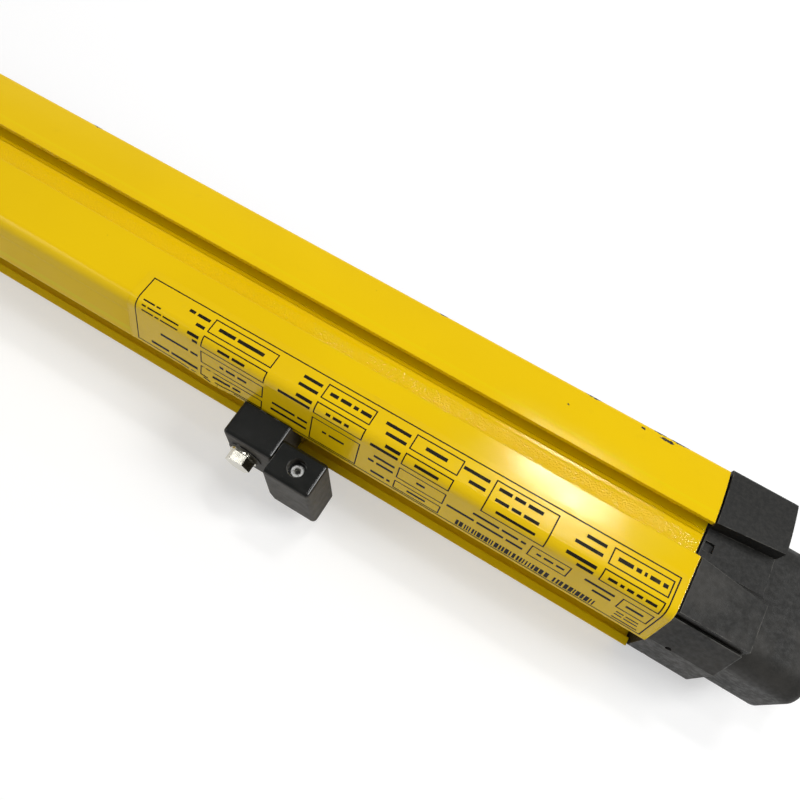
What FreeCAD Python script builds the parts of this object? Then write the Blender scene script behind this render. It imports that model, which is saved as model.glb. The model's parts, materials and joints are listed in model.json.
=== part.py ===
"""Safety light curtain, three-beam receiver bar with one clamped side bracket.

The bar lies on one side, as it does on a bench. X runs along the bar towards
its connector, Y from its rear T-slot to its front window, and Z up. The origin
is under the middle beam, on the flat side face that the bar rests on.

Pieces are drawn in the bar's own section axes, with Y counted from the rear
face and Z from the mid-plane. Each piece's Placement then sets it down.
Lengths are in millimetres.
"""
import FreeCAD, Part
import os
import re

import Sketcher

SIZES = {
    # extruded housing
    "profile_length": 902.0,
    "housing_depth": 55.5,
    "housing_width": 52.0,
    "wall": 2.0,
    "front_width": 42.4,
    "front_bulge_radius": 100.0,
    "front_round": 1.5,
    "rear_corner_depth": 4.65,
    "rear_bend_radius": 4.0,
    "side_face_middle": 16.2,
    # side T-slots
    "side_slot_rear": 24.1,
    "side_slot_mouth": 11.1,
    "side_slot_depth": 5.8,
    "side_slot_undercut": 2.6,
    "side_slot_lip": 2.0,
    # rear T-slot
    "rear_slot_mouth": 16.0,
    "rear_slot_lip": 2.6,
    "rear_slot_flat": 0.8,
    "rear_slot_undercut": 3.5,
    "rear_slot_depth": 7.4,
    # channels for the cap screws
    "port_radius": 1.65,
    "port_wall": 1.55,
    "rear_port_depth": 14.5,
    "rear_port_height": 21.2,
    "front_port_depth": 46.5,
    "front_port_height": 20.0,
    # front window
    "window_pocket_width": 38.4,
    "window_ledge": 1.8,
    "window_recess": 0.2,
    "window_thickness": 2.3,
    "window_gasket": 0.8,
    "window_side_gap": 0.3,
    # end caps
    "gasket_thickness": 0.6,
    "gasket_inset": 1.0,
    "cap_length": 20.6,
    "cap_proud": 0.8,
    "cap_rear": 0.9,
    "cap_rear_edge": 9.2,
    "cap_side_edge": 6.7,
    "cap_groove": 1.0,
    "cap_groove_floor": 21.2,
    "cap_groove_edge": 23.0,
    "cap_hollow_width": 34.0,
    "cap_hollow_rear": 10.6,
    "cap_hollow_front": 53.0,
    "cap_end_wall": 4.0,
    "cap_rim_round": 0.8,
    "cap_front_round": 2.0,
    "flare_floor": 20.6,
    "flare_floor_end": 19.4,
    "flare_rear": 3.1,
    "flare_front": 2.4,
    "flare_slope_start": 0.8,
    "flare_slope_end": 4.0,
    "latch_size": 3.0,
    "latch_start": 0.5,
    "latch_rear": 28.6,
    "latch_depth": 1.0,
    # cap screws
    "screw_radius": 1.55,
    "screw_head_radius": 2.7,
    "screw_head_height": 2.2,
    "screw_clearance": 0.15,
    "screw_reach": 10.0,
    "screw_socket": 2.2,
    "screw_socket_depth": 1.2,
    # connector housing
    "neck_start": 8.0,
    "neck_partition": 4.0,
    "neck_gap": 0.4,
    "neck_rear": 4.5,
    "neck_depth": 43.0,
    "neck_width": 35.0,
    "neck_length": 30.4,
    "neck_corner": 9.0,
    "neck_end_round": 2.5,
    "neck_wall": 2.6,
    "neck_screw_depth": 15.9,
    "neck_screw_height": 9.5,
    "neck_column": 3.6,
    "wire_opening": 10.0,
    # round connector
    "connector_depth": 25.5,
    "barrel_radius": 12.0,
    "barrel_length": 9.0,
    "barrel_bore": 9.5,
    "barrel_neck": 10.8,
    "flange_radius": 14.0,
    "flange_thickness": 1.6,
    "seal_thickness": 0.6,
    "seal_radius": 13.2,
    "nut_radius": 13.0,
    "nut_thickness": 3.0,
    "insert_clearance": 0.2,
    "insert_length": 9.0,
    "insert_recess": 7.0,
    "pin_radius": 0.8,
    "pin_length": 15.0,
    "pin_circle": 6.2,
    "pin_count": 7,
    "pin_clearance": 0.05,
    "wire_radius": 0.6,
    "wire_end_gap": 0.2,
    # chassis and boards
    "chassis_length": 880.0,
    "chassis_width": 35.2,
    "chassis_height": 30.0,
    "chassis_wall": 2.0,
    "chassis_ledge": 1.8,
    "board_seat": 5.6,
    "board_thickness": 1.6,
    "board_width": 30.0,
    "control_board_length": 261.0,
    "small_board_length": 110.0,
    "board_end_gap": 5.0,
    "ribbon_width": 14.0,
    "ribbon_thickness": 1.0,
    "ribbon_lap": 9.0,
    "beam_spacing": 400.0,
    # beam modules
    "header_height": 4.5,
    "header_length": 20.0,
    "header_width": 5.0,
    "module_length": 34.0,
    "module_width": 30.4,
    "module_board_width": 28.0,
    "holder_height": 24.3,
    "lens_radius": 13.0,
    "lens_edge": 2.5,
    "lens_dome": 3.5,
    "lens_clearance": 0.2,
    "lens_lap": 1.4,
    "cone_small_radius": 5.0,
    "diode_size": 5.0,
    "diode_height": 1.5,
    # display at the connector end
    "display_start": 421.0,
    "display_length": 25.0,
    "display_width": 28.0,
    "display_height": 21.4,
    "display_wall": 2.0,
    "digit_length": 10.0,
    "digit_width": 14.0,
    "digit_height": 6.5,
    "lamp_radius": 1.5,
    "lamp_height": 5.0,
    "lamp_pitch": 5.5,
    "lamp_offset": 4.5,
    # parts on the control board
    "chip_length": 16.0,
    "chip_height": 1.4,
    "chip_offset": 60.0,
    "chip_pitch": 30.0,
    "capacitor_radius": 5.0,
    "capacitor_height": 14.0,
    "capacitor_offset": 140.0,
    "capacitor_pitch": 14.0,
    "plug_length": 5.0,
    "plug_width": 18.0,
    "plug_height": 6.0,
    # type label
    "label_thickness": 0.12,
    "label_start": 185.2,
    "label_end": 0.5,
    "label_front": 17.2,
    "label_rear_edge": 9.0,
    # side bracket
    "bracket_offset": 130.9,
    "block_gap": 0.25,
    "block_length": 18.0,
    "block_depth": 12.0,
    "block_top": 11.0,
    "block_bottom": 12.0,
    "block_round": 1.2,
    "boss_radius": 6.0,
    "boss_height": 0.4,
    "tongue_gap": 0.3,
        "nut_gap": 0.25,
    "nut_side_gap": 0.5,
    "slot_nut_thickness": 3.6,
    "bolt_offset": 1.9,
    "bolt_radius": 2.5,
    "bolt_flats": 8.0,
    "bolt_head": 3.3,
    "bolt_hole_gap": 0.25,
    "thread_gap": 0.05,
    "washer_radius": 5.0,
    "washer_thickness": 1.0,
    # swivel foot
    "foot_gap": 0.2,
    "foot_length": 16.2,
    "foot_draft": 0.9,
    "foot_rear": 16.6,
    "foot_front": 4.4,
    "foot_top": 11.0,
    "foot_bottom": 18.0,
    "foot_round": 1.2,
    "foot_chamfer": 1.8,
    "foot_taper": 2.0,
    "foot_taper_height": 6.5,
    "swivel_depth": 10.2,
    "trunnion_radius": 2.0,
    "trunnion_length": 13.0,
    "swivel_gap": 0.05,
    "set_screw_radius": 2.0,
    "set_screw_sink": 3.5,
    "set_screw_well": 3.0,
    "set_screw_socket": 2.0,
    "set_screw_socket_depth": 2.0,
    "fixing_hole_radius": 2.5,
    "fixing_hole_length": 10.0,
}

doc = FreeCAD.newDocument("LightCurtain")
sheet = doc.addObject("Spreadsheet::Sheet", "Sizes")
for row, (name, number) in enumerate(SIZES.items(), 1):
    sheet.set("A%d" % row, name)
    sheet.set("B%d" % row, str(number))
    sheet.setAlias("B%d" % row, name)
doc.recompute()

NODES = {}


# ---------------------------------------------------------------- helpers

def bound(text):
    """The expression, with every size name pointing at its cell of the sheet."""
    def cell(word):
        name = word.group()
        return "Sizes." + name if name in SIZES else name
    return re.sub(r"[a-z][a-z_0-9]*", cell, str(text))


def value(text):
    """The expression's number at the sheet's present sizes."""
    return float(sheet.evalExpression(bound(text)))


def place(thing, x, y, z):
    """Bind a thing's position to three expressions."""
    for axis, text in zip("xyz", (x, y, z)):
        thing.setExpression("Placement.Base." + axis, bound(text))


def node(thing, label, x="0", y="0", z="0"):
    """Name a finished sub-part and set it down on the bar's side."""
    place(thing, x, "(%s) - side_face_middle" % y, "(%s) + housing_width / 2" % z)
    thing.Label = label
    NODES[label] = thing
    return thing


def fresh(kind, name):
    """A new document object of the given kind."""
    return doc.addObject(kind, name)


def block(name, x, y, z):
    """A box between low and high expressions, as a tool or a base."""
    box = fresh("Part::Box", name)
    for side, (low, high) in zip(("Length", "Width", "Height"), (x, y, z)):
        box.setExpression(side, bound("(%s) - (%s)" % (high, low)))
    place(box, x[0], y[0], z[0])
    return box


def block_node(label, x, y, z):
    """A box that is a sub-part by itself."""
    return node(block(label, x, y, z), label, x[0], y[0], z[0])


TURNS = {
    "x": FreeCAD.Rotation(FreeCAD.Vector(0, 1, 0), 90),
    "y": FreeCAD.Rotation(FreeCAD.Vector(1, 0, 0), -90),
    "z": FreeCAD.Rotation(),
}


def rod(name, axis, radius, length, at):
    """A cylinder along axis that starts at the point at."""
    cylinder = fresh("Part::Cylinder", name)
    cylinder.setExpression("Radius", bound(radius))
    cylinder.setExpression("Height", bound(length))
    cylinder.Placement = FreeCAD.Placement(FreeCAD.Vector(), TURNS[axis])
    place(cylinder, *at)
    return cylinder


def cut(name, base, *tools):
    """The base less each tool in turn."""
    for index, tool in enumerate(tools):
        result = fresh("Part::Cut", "%s_cut_%d" % (name, index))
        result.Base = base
        result.Tool = tool
        base = result
    return base


def group(name, members):
    """Several separate solids of one kind that share a node."""
    result = fresh("Part::Compound", name)
    result.Links = members
    return result


def new_body(name):
    """An empty PartDesign body."""
    return fresh("PartDesign::Body", name)


PLANES = {"x": "YZ_Plane", "y": "XZ_Plane", "z": "XY_Plane"}


def sketch_on(body, axis, start="0"):
    """A sketch square to axis, at start along it.

    Its two directions are Y and Z for axis x, X and Z for y, and X and Y for z.
    """
    sketch = body.newObject("Sketcher::SketchObject", "Sketch")
    planes = [item for item in body.Origin.OriginFeatures if item.Role == PLANES[axis]]
    sketch.AttachmentSupport = (planes[0], "")
    sketch.MapMode = "FlatFace"
    offset = "-(%s)" % start if axis == "y" else start
    sketch.setExpression("AttachmentOffset.Base.z", bound(offset))
    return sketch


def hold(sketch, kind, geometry, position, text):
    """Constrain one coordinate of a point to an expression."""
    constraint = Sketcher.Constraint(kind, geometry, position, value(text))
    index = sketch.addConstraint(constraint)
    sketch.setExpression("Constraints[%d]" % index, bound(text))


def hold_radius(sketch, geometry, text):
    """Constrain a radius to an expression."""
    index = sketch.addConstraint(Sketcher.Constraint("Radius", geometry, value(text)))
    sketch.setExpression("Constraints[%d]" % index, bound(text))


def arc_between(start, end, radius):
    """The shorter arc from start to end that bulges to the right of the way along it."""
    way = end - start
    half = way.Length / 2
    rise = radius - (radius ** 2 - half ** 2) ** 0.5
    outward = FreeCAD.Vector(way.y, -way.x, 0).normalize()
    return Part.Arc(start, start + way * 0.5 + outward * rise, end)


def outline(sketch, corners):
    """A closed outline; a corner's third item is the radius of an arc to the next."""
    first = sketch.GeometryCount
    points = [FreeCAD.Vector(value(item[0]), value(item[1]), 0) for item in corners]
    count = len(corners)
    for index, corner in enumerate(corners):
        start = points[index]
        end = points[(index + 1) % count]
        if len(corner) == 3:
            sketch.addGeometry(arc_between(start, end, value(corner[2])))
        else:
            sketch.addGeometry(Part.LineSegment(start, end))
    for index in range(count):
        following = first + (index + 1) % count
        sketch.addConstraint(Sketcher.Constraint("Coincident", first + index, 2, following, 1))
    for index, corner in enumerate(corners):
        hold(sketch, "DistanceX", first + index, 1, corner[0])
        hold(sketch, "DistanceY", first + index, 1, corner[1])
        if len(corner) == 3:
            hold_radius(sketch, first + index, corner[2])


def circle(sketch, across, up, radius):
    """A circle whose centre and radius are bound."""
    centre = FreeCAD.Vector(value(across), value(up), 0)
    index = sketch.GeometryCount
    sketch.addGeometry(Part.Circle(centre, FreeCAD.Vector(0, 0, 1), value(radius)))
    hold(sketch, "DistanceX", index, 3, across)
    hold(sketch, "DistanceY", index, 3, up)
    hold_radius(sketch, index, radius)


def rectangle(across, up):
    """Corners of a rectangle between low and high expressions."""
    return [(across[0], up[0]), (across[1], up[0]), (across[1], up[1]), (across[0], up[1])]


def hexagon(flats, across="0", up="0"):
    """Corners of a hexagon with two of its flats facing up and down."""
    tip = "(%s) / sqrt(3)" % flats
    near = "(%s) / (2 * sqrt(3))" % flats
    rise = "(%s) / 2" % flats
    steps = [(tip, "0"), (near, rise), ("-" + near, rise),
             ("-" + tip, "0"), ("-" + near, "-" + rise), (near, "-" + rise)]
    return [("(%s) + %s" % (across, a), "(%s) + %s" % (up, b)) for a, b in steps]


def mirrored(upper):
    """The lower half of an outline, from the upper half's last corner back to its first."""
    lower = []
    for index in range(len(upper) - 1, -1, -1):
        arc = tuple(upper[index - 1][2:]) if index else ()
        lower.append((upper[index][0], "-(%s)" % upper[index][1]) + arc)
    return lower


def both_halves(upper):
    """A whole outline from its upper half, listed from front to rear."""
    return upper + mirrored(upper)


def pad(body, sketch, axis, length):
    """Add material from the sketch forwards along its axis."""
    feature = body.newObject("PartDesign::Pad", "Pad")
    feature.Profile = sketch
    feature.Reversed = axis == "y"
    feature.setExpression("Length", bound(length))
    return feature


def pocket(body, sketch, axis, length):
    """Remove material from the sketch forwards along its axis."""
    before = solid_volume(body)
    feature = body.newObject("PartDesign::Pocket", "Pocket")
    feature.Profile = sketch
    feature.Reversed = axis != "y"
    feature.setExpression("Length", bound(length))
    doc.recompute()
    if feature.Shape.Volume >= before:
        raise ValueError("a pocket of %s removes nothing" % body.Label)
    return feature


def solid_volume(body):
    """The body's volume as it stands."""
    doc.recompute()
    return body.Shape.Volume


def prism(label, axis, start, length, corners):
    """A body padded from one outline."""
    body = new_body(label)
    sketch = sketch_on(body, axis, start)
    outline(sketch, corners)
    pad(body, sketch, axis, length)
    return body


def drill(body, axis, start, length, circles):
    """Pocket one or more round holes."""
    sketch = sketch_on(body, axis, start)
    for across, up, radius in circles:
        circle(sketch, across, up, radius)
    return pocket(body, sketch, axis, length)


def recess(body, axis, start, length, corners):
    """Pocket one outline."""
    sketch = sketch_on(body, axis, start)
    outline(sketch, corners)
    return pocket(body, sketch, axis, length)


def turned(label, axis, corners):
    """A body of revolution about axis; each corner is a place along it and a radius."""
    body = new_body(label)
    sketch = sketch_on(body, "y" if axis == "z" else "z")
    if axis == "x":
        outline(sketch, corners)
    else:
        outline(sketch, [(item[1], item[0]) + tuple(item[2:]) for item in corners])
    feature = body.newObject("PartDesign::Revolution", "Revolution")
    feature.Profile = sketch
    feature.ReferenceAxis = (sketch, ["H_Axis" if axis == "x" else "V_Axis"])
    feature.Angle = 360
    return body


TOUCH = 1e-4


def edge_names(feature, chosen):
    """Names of the feature's edges that chosen accepts."""
    names = []
    for index, edge in enumerate(feature.Shape.Edges, 1):
        if chosen(edge):
            names.append("Edge%d" % index)
    return names


def runs_along(edge, axis):
    """Whether an edge is straight and parallel to axis."""
    box = edge.BoundBox
    spans = {"x": box.XLength, "y": box.YLength, "z": box.ZLength}
    return all(span < TOUCH for name, span in spans.items() if name != axis)


def at_spot(edge, spots):
    """Whether an edge along X passes one of the (y, z) spots."""
    if not runs_along(edge, "x"):
        return False
    middle = edge.BoundBox.Center
    return any(abs(middle.y - y) < TOUCH and abs(middle.z - z) < TOUCH for y, z in spots)


def soften(body, kind, size, chosen):
    """Fillet or chamfer the body's present edges that chosen accepts."""
    doc.recompute()
    tip = body.Tip
    names = edge_names(tip, chosen)
    if not names:
        raise ValueError("no edge of %s to soften" % body.Label)
    feature = body.newObject("PartDesign::" + kind, kind)
    feature.Base = (tip, names)
    feature.setExpression("Radius" if kind == "Fillet" else "Size", bound(size))
    return feature


def both_sides(*pairs):
    """Numbers of (y, z) spots and of their mirror images below the mid-plane."""
    spots = []
    for across, up in pairs:
        spots.append((value(across), value(up)))
        spots.append((value(across), -value(up)))
    return spots


# ---------------------------------------------------------------- shared places

HALF = "housing_width / 2"
BAR_END = "profile_length / 2"
SLOT_FRONT = "(side_slot_rear + side_slot_mouth)"
SLOT_FLOOR = "(housing_width / 2 - side_slot_depth)"
SLOT_CAVE_FRONT = "(side_slot_rear + side_slot_mouth + side_slot_undercut)"
SLOT_CAVE_REAR = "(side_slot_rear - side_slot_undercut)"
LIP_UNDER = "(housing_width / 2 - side_slot_lip)"
CAVE_HALF = "(rear_slot_mouth / 2 + rear_slot_undercut)"
REAR_FLAT_EDGE = "(rear_slot_mouth / 2 + rear_slot_flat)"
REAR_SLOPE = "(rear_corner_depth / (housing_width / 2 - %s))" % REAR_FLAT_EDGE
CHAMBER_REAR = "(rear_slot_depth + wall)"
WINDOW_BACK = "(housing_depth - window_recess - window_thickness)"
LEDGE_FRONT = "(%s - window_gasket)" % WINDOW_BACK
LEDGE_REAR = "(%s - window_ledge)" % LEDGE_FRONT
POCKET_HALF = "(window_pocket_width / 2)"
LEDGE_HALF = "(window_pocket_width / 2 - window_ledge)"


def rear_face(height):
    """Y of the sloping rear face at a height above the mid-plane."""
    return "(%s * ((%s) - %s))" % (REAR_SLOPE, height, REAR_FLAT_EDGE)


def front_band(depth):
    """Z of the straight line under the bulged front band at a depth from the rear."""
    fall = "(housing_width - front_width) / 2"
    return "(%s - %s * ((%s) - %s) / (housing_depth - %s))" % (
        HALF, fall, depth, SLOT_FRONT, SLOT_FRONT)


PORTS = [("rear_port_depth", "rear_port_height"), ("rear_port_depth", "-rear_port_height"),
         ("front_port_depth", "front_port_height"), ("front_port_depth", "-front_port_height")]


# ---------------------------------------------------------------- housing

def housing_outline():
    """The extrusion's section as one loop, open at the front for the window."""
    outer = [
        ("housing_depth", POCKET_HALF),
        ("housing_depth", "front_width / 2", "front_bulge_radius"),
        (SLOT_FRONT, HALF),
        (SLOT_FRONT, LIP_UNDER),
        (SLOT_CAVE_FRONT, LIP_UNDER),
        (SLOT_CAVE_FRONT, SLOT_FLOOR),
        (SLOT_CAVE_REAR, SLOT_FLOOR),
        (SLOT_CAVE_REAR, LIP_UNDER),
        ("side_slot_rear", LIP_UNDER),
        ("side_slot_rear", HALF),
        ("rear_corner_depth", HALF),
        ("0", REAR_FLAT_EDGE),
        ("0", "rear_slot_mouth / 2"),
        ("rear_slot_lip", "rear_slot_mouth / 2"),
        ("rear_slot_lip", CAVE_HALF),
        ("rear_slot_depth", CAVE_HALF),
    ]
    chamber_top = "(%s - wall)" % HALF
    cave_side = "(%s + wall)" % CAVE_HALF
    inner = [
        (LEDGE_FRONT, POCKET_HALF),
        (LEDGE_FRONT, LEDGE_HALF),
        (LEDGE_REAR, LEDGE_HALF),
        (LEDGE_REAR, "%s - wall" % front_band(LEDGE_REAR)),
        (SLOT_CAVE_FRONT + " + wall", "%s - wall" % front_band(SLOT_CAVE_FRONT + " + wall")),
        (SLOT_CAVE_FRONT + " + wall", SLOT_FLOOR + " - wall"),
        (SLOT_CAVE_REAR + " - wall", SLOT_FLOOR + " - wall"),
        (SLOT_CAVE_REAR + " - wall", chamber_top),
        (rear_face(chamber_top) + " + wall", chamber_top),
        (rear_face(cave_side) + " + wall", cave_side),
        (CHAMBER_REAR, cave_side),
    ]
    lower_inner = [(across, "-(%s)" % up) for across, up in inner]
    return both_halves(outer) + lower_inner + inner[::-1]


def make_housing():
    """One aluminium extrusion with three T-slots and four screw channels."""
    body = prism("housing_profile", "x", "0", "profile_length", housing_outline())
    bosses = sketch_on(body, "x")
    for across, up in PORTS:
        circle(bosses, across, up, "port_radius + port_wall")
    pad(body, bosses, "x", "profile_length")
    drill(body, "x", "0", "profile_length", [(a, u, "port_radius") for a, u in PORTS])
    bends = both_sides(("rear_corner_depth", HALF))
    soften(body, "Fillet", "rear_bend_radius", lambda edge: at_spot(edge, bends))
    brows = both_sides(("housing_depth", "front_width / 2"))
    soften(body, "Fillet", "front_round", lambda edge: at_spot(edge, brows))
    node(body, "housing_profile", "-(%s)" % BAR_END)


def make_window():
    """The front screen and the two strips that it is bedded on."""
    window_half = "(%s - window_side_gap)" % POCKET_HALF
    window = block("window_sheet", ("0", "profile_length"),
                   (WINDOW_BACK, WINDOW_BACK + " + window_thickness"),
                   ("-" + window_half, window_half))
    node(window, "front_window", "-(%s)" % BAR_END, WINDOW_BACK, "-" + window_half)
    strips = []
    for name, low, high in (("upper", LEDGE_HALF, window_half),
                            ("lower", "-" + window_half, "-" + LEDGE_HALF)):
        strips.append(block("gasket_strip_" + name, ("-(%s)" % BAR_END, BAR_END),
                            (LEDGE_FRONT, WINDOW_BACK), (low, high)))
    node(group("window_gasket_pair", strips), "window_gaskets")


# ---------------------------------------------------------------- end caps

TURN_ROUND = FreeCAD.Placement(FreeCAD.Vector(), FreeCAD.Rotation(FreeCAD.Vector(0, 1, 0), 180))
HOLLOW = rectangle(("cap_hollow_rear", "cap_hollow_front"),
                   ("-cap_hollow_width / 2", "cap_hollow_width / 2"))


def at_end(thing, label, far, start="0"):
    """Set a piece at the connector end, or turned round at the far end."""
    reach = "(%s + (%s))" % (BAR_END, start)
    if far:
        thing.Placement = TURN_ROUND
        reach = "-" + reach
    node(thing, label, reach)


def make_end_gasket(label, far):
    """A flat rubber ring round the chamber, clear of the three T-slots."""
    upper = [
        ("housing_depth - gasket_inset", "front_width / 2 - gasket_inset"),
        (SLOT_CAVE_FRONT + " + gasket_inset", "%s - gasket_inset" % front_band(SLOT_CAVE_FRONT)),
        (SLOT_CAVE_FRONT + " + gasket_inset", SLOT_FLOOR + " - gasket_inset"),
        (SLOT_CAVE_REAR + " - gasket_inset", SLOT_FLOOR + " - gasket_inset"),
        (SLOT_CAVE_REAR + " - gasket_inset", HALF + " - gasket_inset"),
        ("rear_corner_depth + 2 * gasket_inset", HALF + " - gasket_inset"),
        (rear_face(CAVE_HALF + " + gasket_inset") + " + gasket_inset",
         CAVE_HALF + " + gasket_inset"),
        ("rear_slot_depth + gasket_inset", CAVE_HALF + " + gasket_inset"),
    ]
    body = prism(label, "x", "0", "gasket_thickness", both_halves(upper))
    recess(body, "x", "0", "gasket_thickness", HOLLOW)
    drill(body, "x", "0", "gasket_thickness", [(a, u, "port_radius") for a, u in PORTS])
    at_end(body, label, far)


def cap_outline():
    """The cap's section, with a groove between each side face and its rear slope."""
    return both_halves([
        ("housing_depth + cap_proud", "front_width / 2 + cap_proud / 2", "front_bulge_radius"),
        (SLOT_FRONT + " + cap_proud", HALF),
        ("cap_side_edge", HALF),
        ("cap_side_edge", "cap_groove_floor"),
        ("cap_side_edge - cap_groove", "cap_groove_floor"),
        ("cap_side_edge - cap_groove", "cap_groove_edge"),
        ("cap_rear", "cap_rear_edge"),
    ])


def cut_flare(body, side):
    """A side slot's run-out, which widens and deepens towards the cap's end."""
    def corners(rear, slope, front, floor):
        points = [(rear, HALF + " + wall"), (rear, HALF),
                  (slope, "flare_floor"), (front, floor), (front, HALF + " + wall")]
        return [(across, "%s(%s)" % (side, up)) for across, up in points]
    near = sketch_on(body, "x")
    outline(near, corners("side_slot_rear", "side_slot_rear + flare_slope_start",
                          SLOT_FRONT + " + cap_proud / 2", "flare_floor"))
    away = sketch_on(body, "x", "cap_length")
    outline(away, corners("side_slot_rear - flare_rear",
                          "side_slot_rear - flare_rear + flare_slope_end",
                          SLOT_FRONT + " + flare_front", "flare_floor_end"))
    loft = body.newObject("PartDesign::SubtractiveLoft", "Flare")
    loft.Profile = near
    loft.Sections = [away]
    loft.Ruled = True


def cut_latches(body):
    """A small square window in each run-out's floor, and two round marks at the rear."""
    span = (("latch_start", "latch_start + latch_size"), ("latch_rear", "latch_rear + latch_size"))
    recess(body, "z", "flare_floor - latch_depth", "wall", rectangle(*span))
    recess(body, "z", "latch_depth - flare_floor - wall", "wall", rectangle(*span))
    marks = [("2 * latch_size", "%scap_rear_edge" % side, "latch_depth") for side in ("", "-")]
    drill(body, "y", "0", "cap_rear + latch_depth", marks)


def make_cap(label, far):
    """A moulded cap that is screwed onto the extrusion's end."""
    body = prism(label, "x", "0", "cap_length", cap_outline())
    for side in ("", "-"):
        cut_flare(body, side)
    cut_latches(body)
    brows = both_sides(("housing_depth + cap_proud", "front_width / 2 + cap_proud / 2"))
    soften(body, "Fillet", "cap_front_round", lambda edge: at_spot(edge, brows))
    far_face = value("cap_length")
    shoulder = value("cap_side_edge - cap_groove")

    def rear_rim(edge):
        box = edge.BoundBox
        slanted = box.YMax < shoulder + TOUCH and box.YLength > TOUCH
        flat = box.YMax < value("cap_rear") + TOUCH
        return abs(box.XMin - far_face) < TOUCH and (slanted or flat)
    soften(body, "Fillet", "cap_rim_round", rear_rim)
    if far:
        recess(body, "x", "0", "cap_length - cap_end_wall", HOLLOW)
    else:
        recess(body, "x", "0", "neck_start", HOLLOW)
        opening = sketch_on(body, "x", "neck_start + neck_partition")
        rounded_rectangle(opening, "neck_rear - neck_gap", "neck_rear + neck_depth + neck_gap",
                          "neck_width / 2 + neck_gap", "neck_corner + neck_gap")
        pocket(body, opening, "x", "cap_length")
        drill(body, "x", "0", "cap_length", [("connector_depth", "0", "wire_opening")])
        drill(body, "x", "0", "cap_length",
              [(a, u, "screw_radius + pin_clearance") for a, u in NECK_SCREWS])
    drill(body, "x", "0", "cap_length", [(a, u, "screw_radius + screw_clearance") for a, u in PORTS])
    drill(body, "x", "cap_length - screw_head_height", "cap_length",
          [(a, u, "screw_head_radius + screw_clearance") for a, u in PORTS])
    at_end(body, label, far, "gasket_thickness")


def rounded_rectangle(sketch, rear, front, half, radius):
    """A rectangle with round corners, symmetrical about the mid-plane."""
    chord = "(%s)" % radius
    outline(sketch, [
        ("(%s) + %s" % (rear, chord), "-(%s)" % half),
        ("(%s) - %s" % (front, chord), "-(%s)" % half, radius),
        (front, "-(%s) + %s" % (half, chord)),
        (front, "(%s) - %s" % (half, chord), radius),
        ("(%s) - %s" % (front, chord), half),
        ("(%s) + %s" % (rear, chord), half, radius),
        (rear, "(%s) - %s" % (half, chord)),
        (rear, "-(%s) + %s" % (half, chord), radius),
    ])


def screw_body(label, length):
    """A socket-head screw along X, its head's end face at x = 0 and its tip behind."""
    body = turned(label, "x", [
        ("-(%s)" % length, "0"),
        ("0", "0"),
        ("0", "screw_head_radius"),
        ("-screw_head_height", "screw_head_radius"),
        ("-screw_head_height", "screw_radius"),
        ("-(%s)" % length, "screw_radius"),
    ])
    recess(body, "x", "-screw_socket_depth", "screw_socket_depth", hexagon("screw_socket"))
    return body


def make_screws(label, spots, length, head_face, far):
    """One set of equal screws whose heads sit flush at head_face from the bar's end."""
    screws = []
    for index, (across, up) in enumerate(spots):
        screw = screw_body("%s_%d" % (label, index), length)
        if far:
            screw.Placement = TURN_ROUND
        sign = "-" if far else ""
        place(screw, "%s(%s + (%s))" % (sign, BAR_END, head_face), across, up)
        screws.append(screw)
    node(group(label + "_set", screws), label)


# ---------------------------------------------------------------- connector

NECK_SCREWS = [("connector_depth + %sneck_screw_depth" % a, "%sneck_screw_height" % b)
               for a in ("-", "") for b in ("-", "")]
NECK_BASE = "(gasket_thickness + neck_start + neck_partition)"
NECK_END = "(%s + neck_length)" % NECK_BASE


def make_connector_housing():
    """The narrower moulding that stands in the cap and carries the round connector."""
    body = new_body("connector_housing")
    sketch = sketch_on(body, "x")
    rounded_rectangle(sketch, "neck_rear", "neck_rear + neck_depth", "neck_width / 2",
                      "neck_corner")
    pad(body, sketch, "x", "neck_length")
    end = value("neck_length")

    def outer_rim(edge):
        return abs(edge.BoundBox.XMin - end) < TOUCH
    soften(body, "Fillet", "neck_end_round", outer_rim)
    inner = sketch_on(body, "x")
    rounded_rectangle(inner, "neck_rear + neck_wall", "neck_rear + neck_depth - neck_wall",
                      "neck_width / 2 - neck_wall", "neck_corner - neck_wall")
    pocket(body, inner, "x", "neck_length - neck_wall")
    columns = sketch_on(body, "x")
    for across, up in NECK_SCREWS:
        circle(columns, across, up, "neck_column")
    pad(body, columns, "x", "neck_length - neck_wall / 2")
    drill(body, "x", "0", "neck_length",
          [(a, u, "screw_radius + screw_clearance") for a, u in NECK_SCREWS])
    drill(body, "x", "neck_length - screw_head_height", "neck_length",
          [(a, u, "screw_head_radius + screw_clearance") for a, u in NECK_SCREWS])
    drill(body, "x", "0", "neck_length", [("connector_depth", "0", "barrel_neck + pin_clearance")])
    node(body, "connector_housing", "%s + %s" % (BAR_END, NECK_BASE))


def on_connector(thing, label, along):
    """Set a turned piece on the connector's axis, along from the housing's end face."""
    node(thing, label, "%s + %s + (%s)" % (BAR_END, NECK_END, along), "connector_depth")


def pin_spots():
    """Places of the contact pins round the connector's axis."""
    count = int(value("pin_count"))
    return [("pin_circle * cos(%g deg)" % (360 * index / count),
             "pin_circle * sin(%g deg)" % (360 * index / count)) for index in range(count)]


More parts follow.
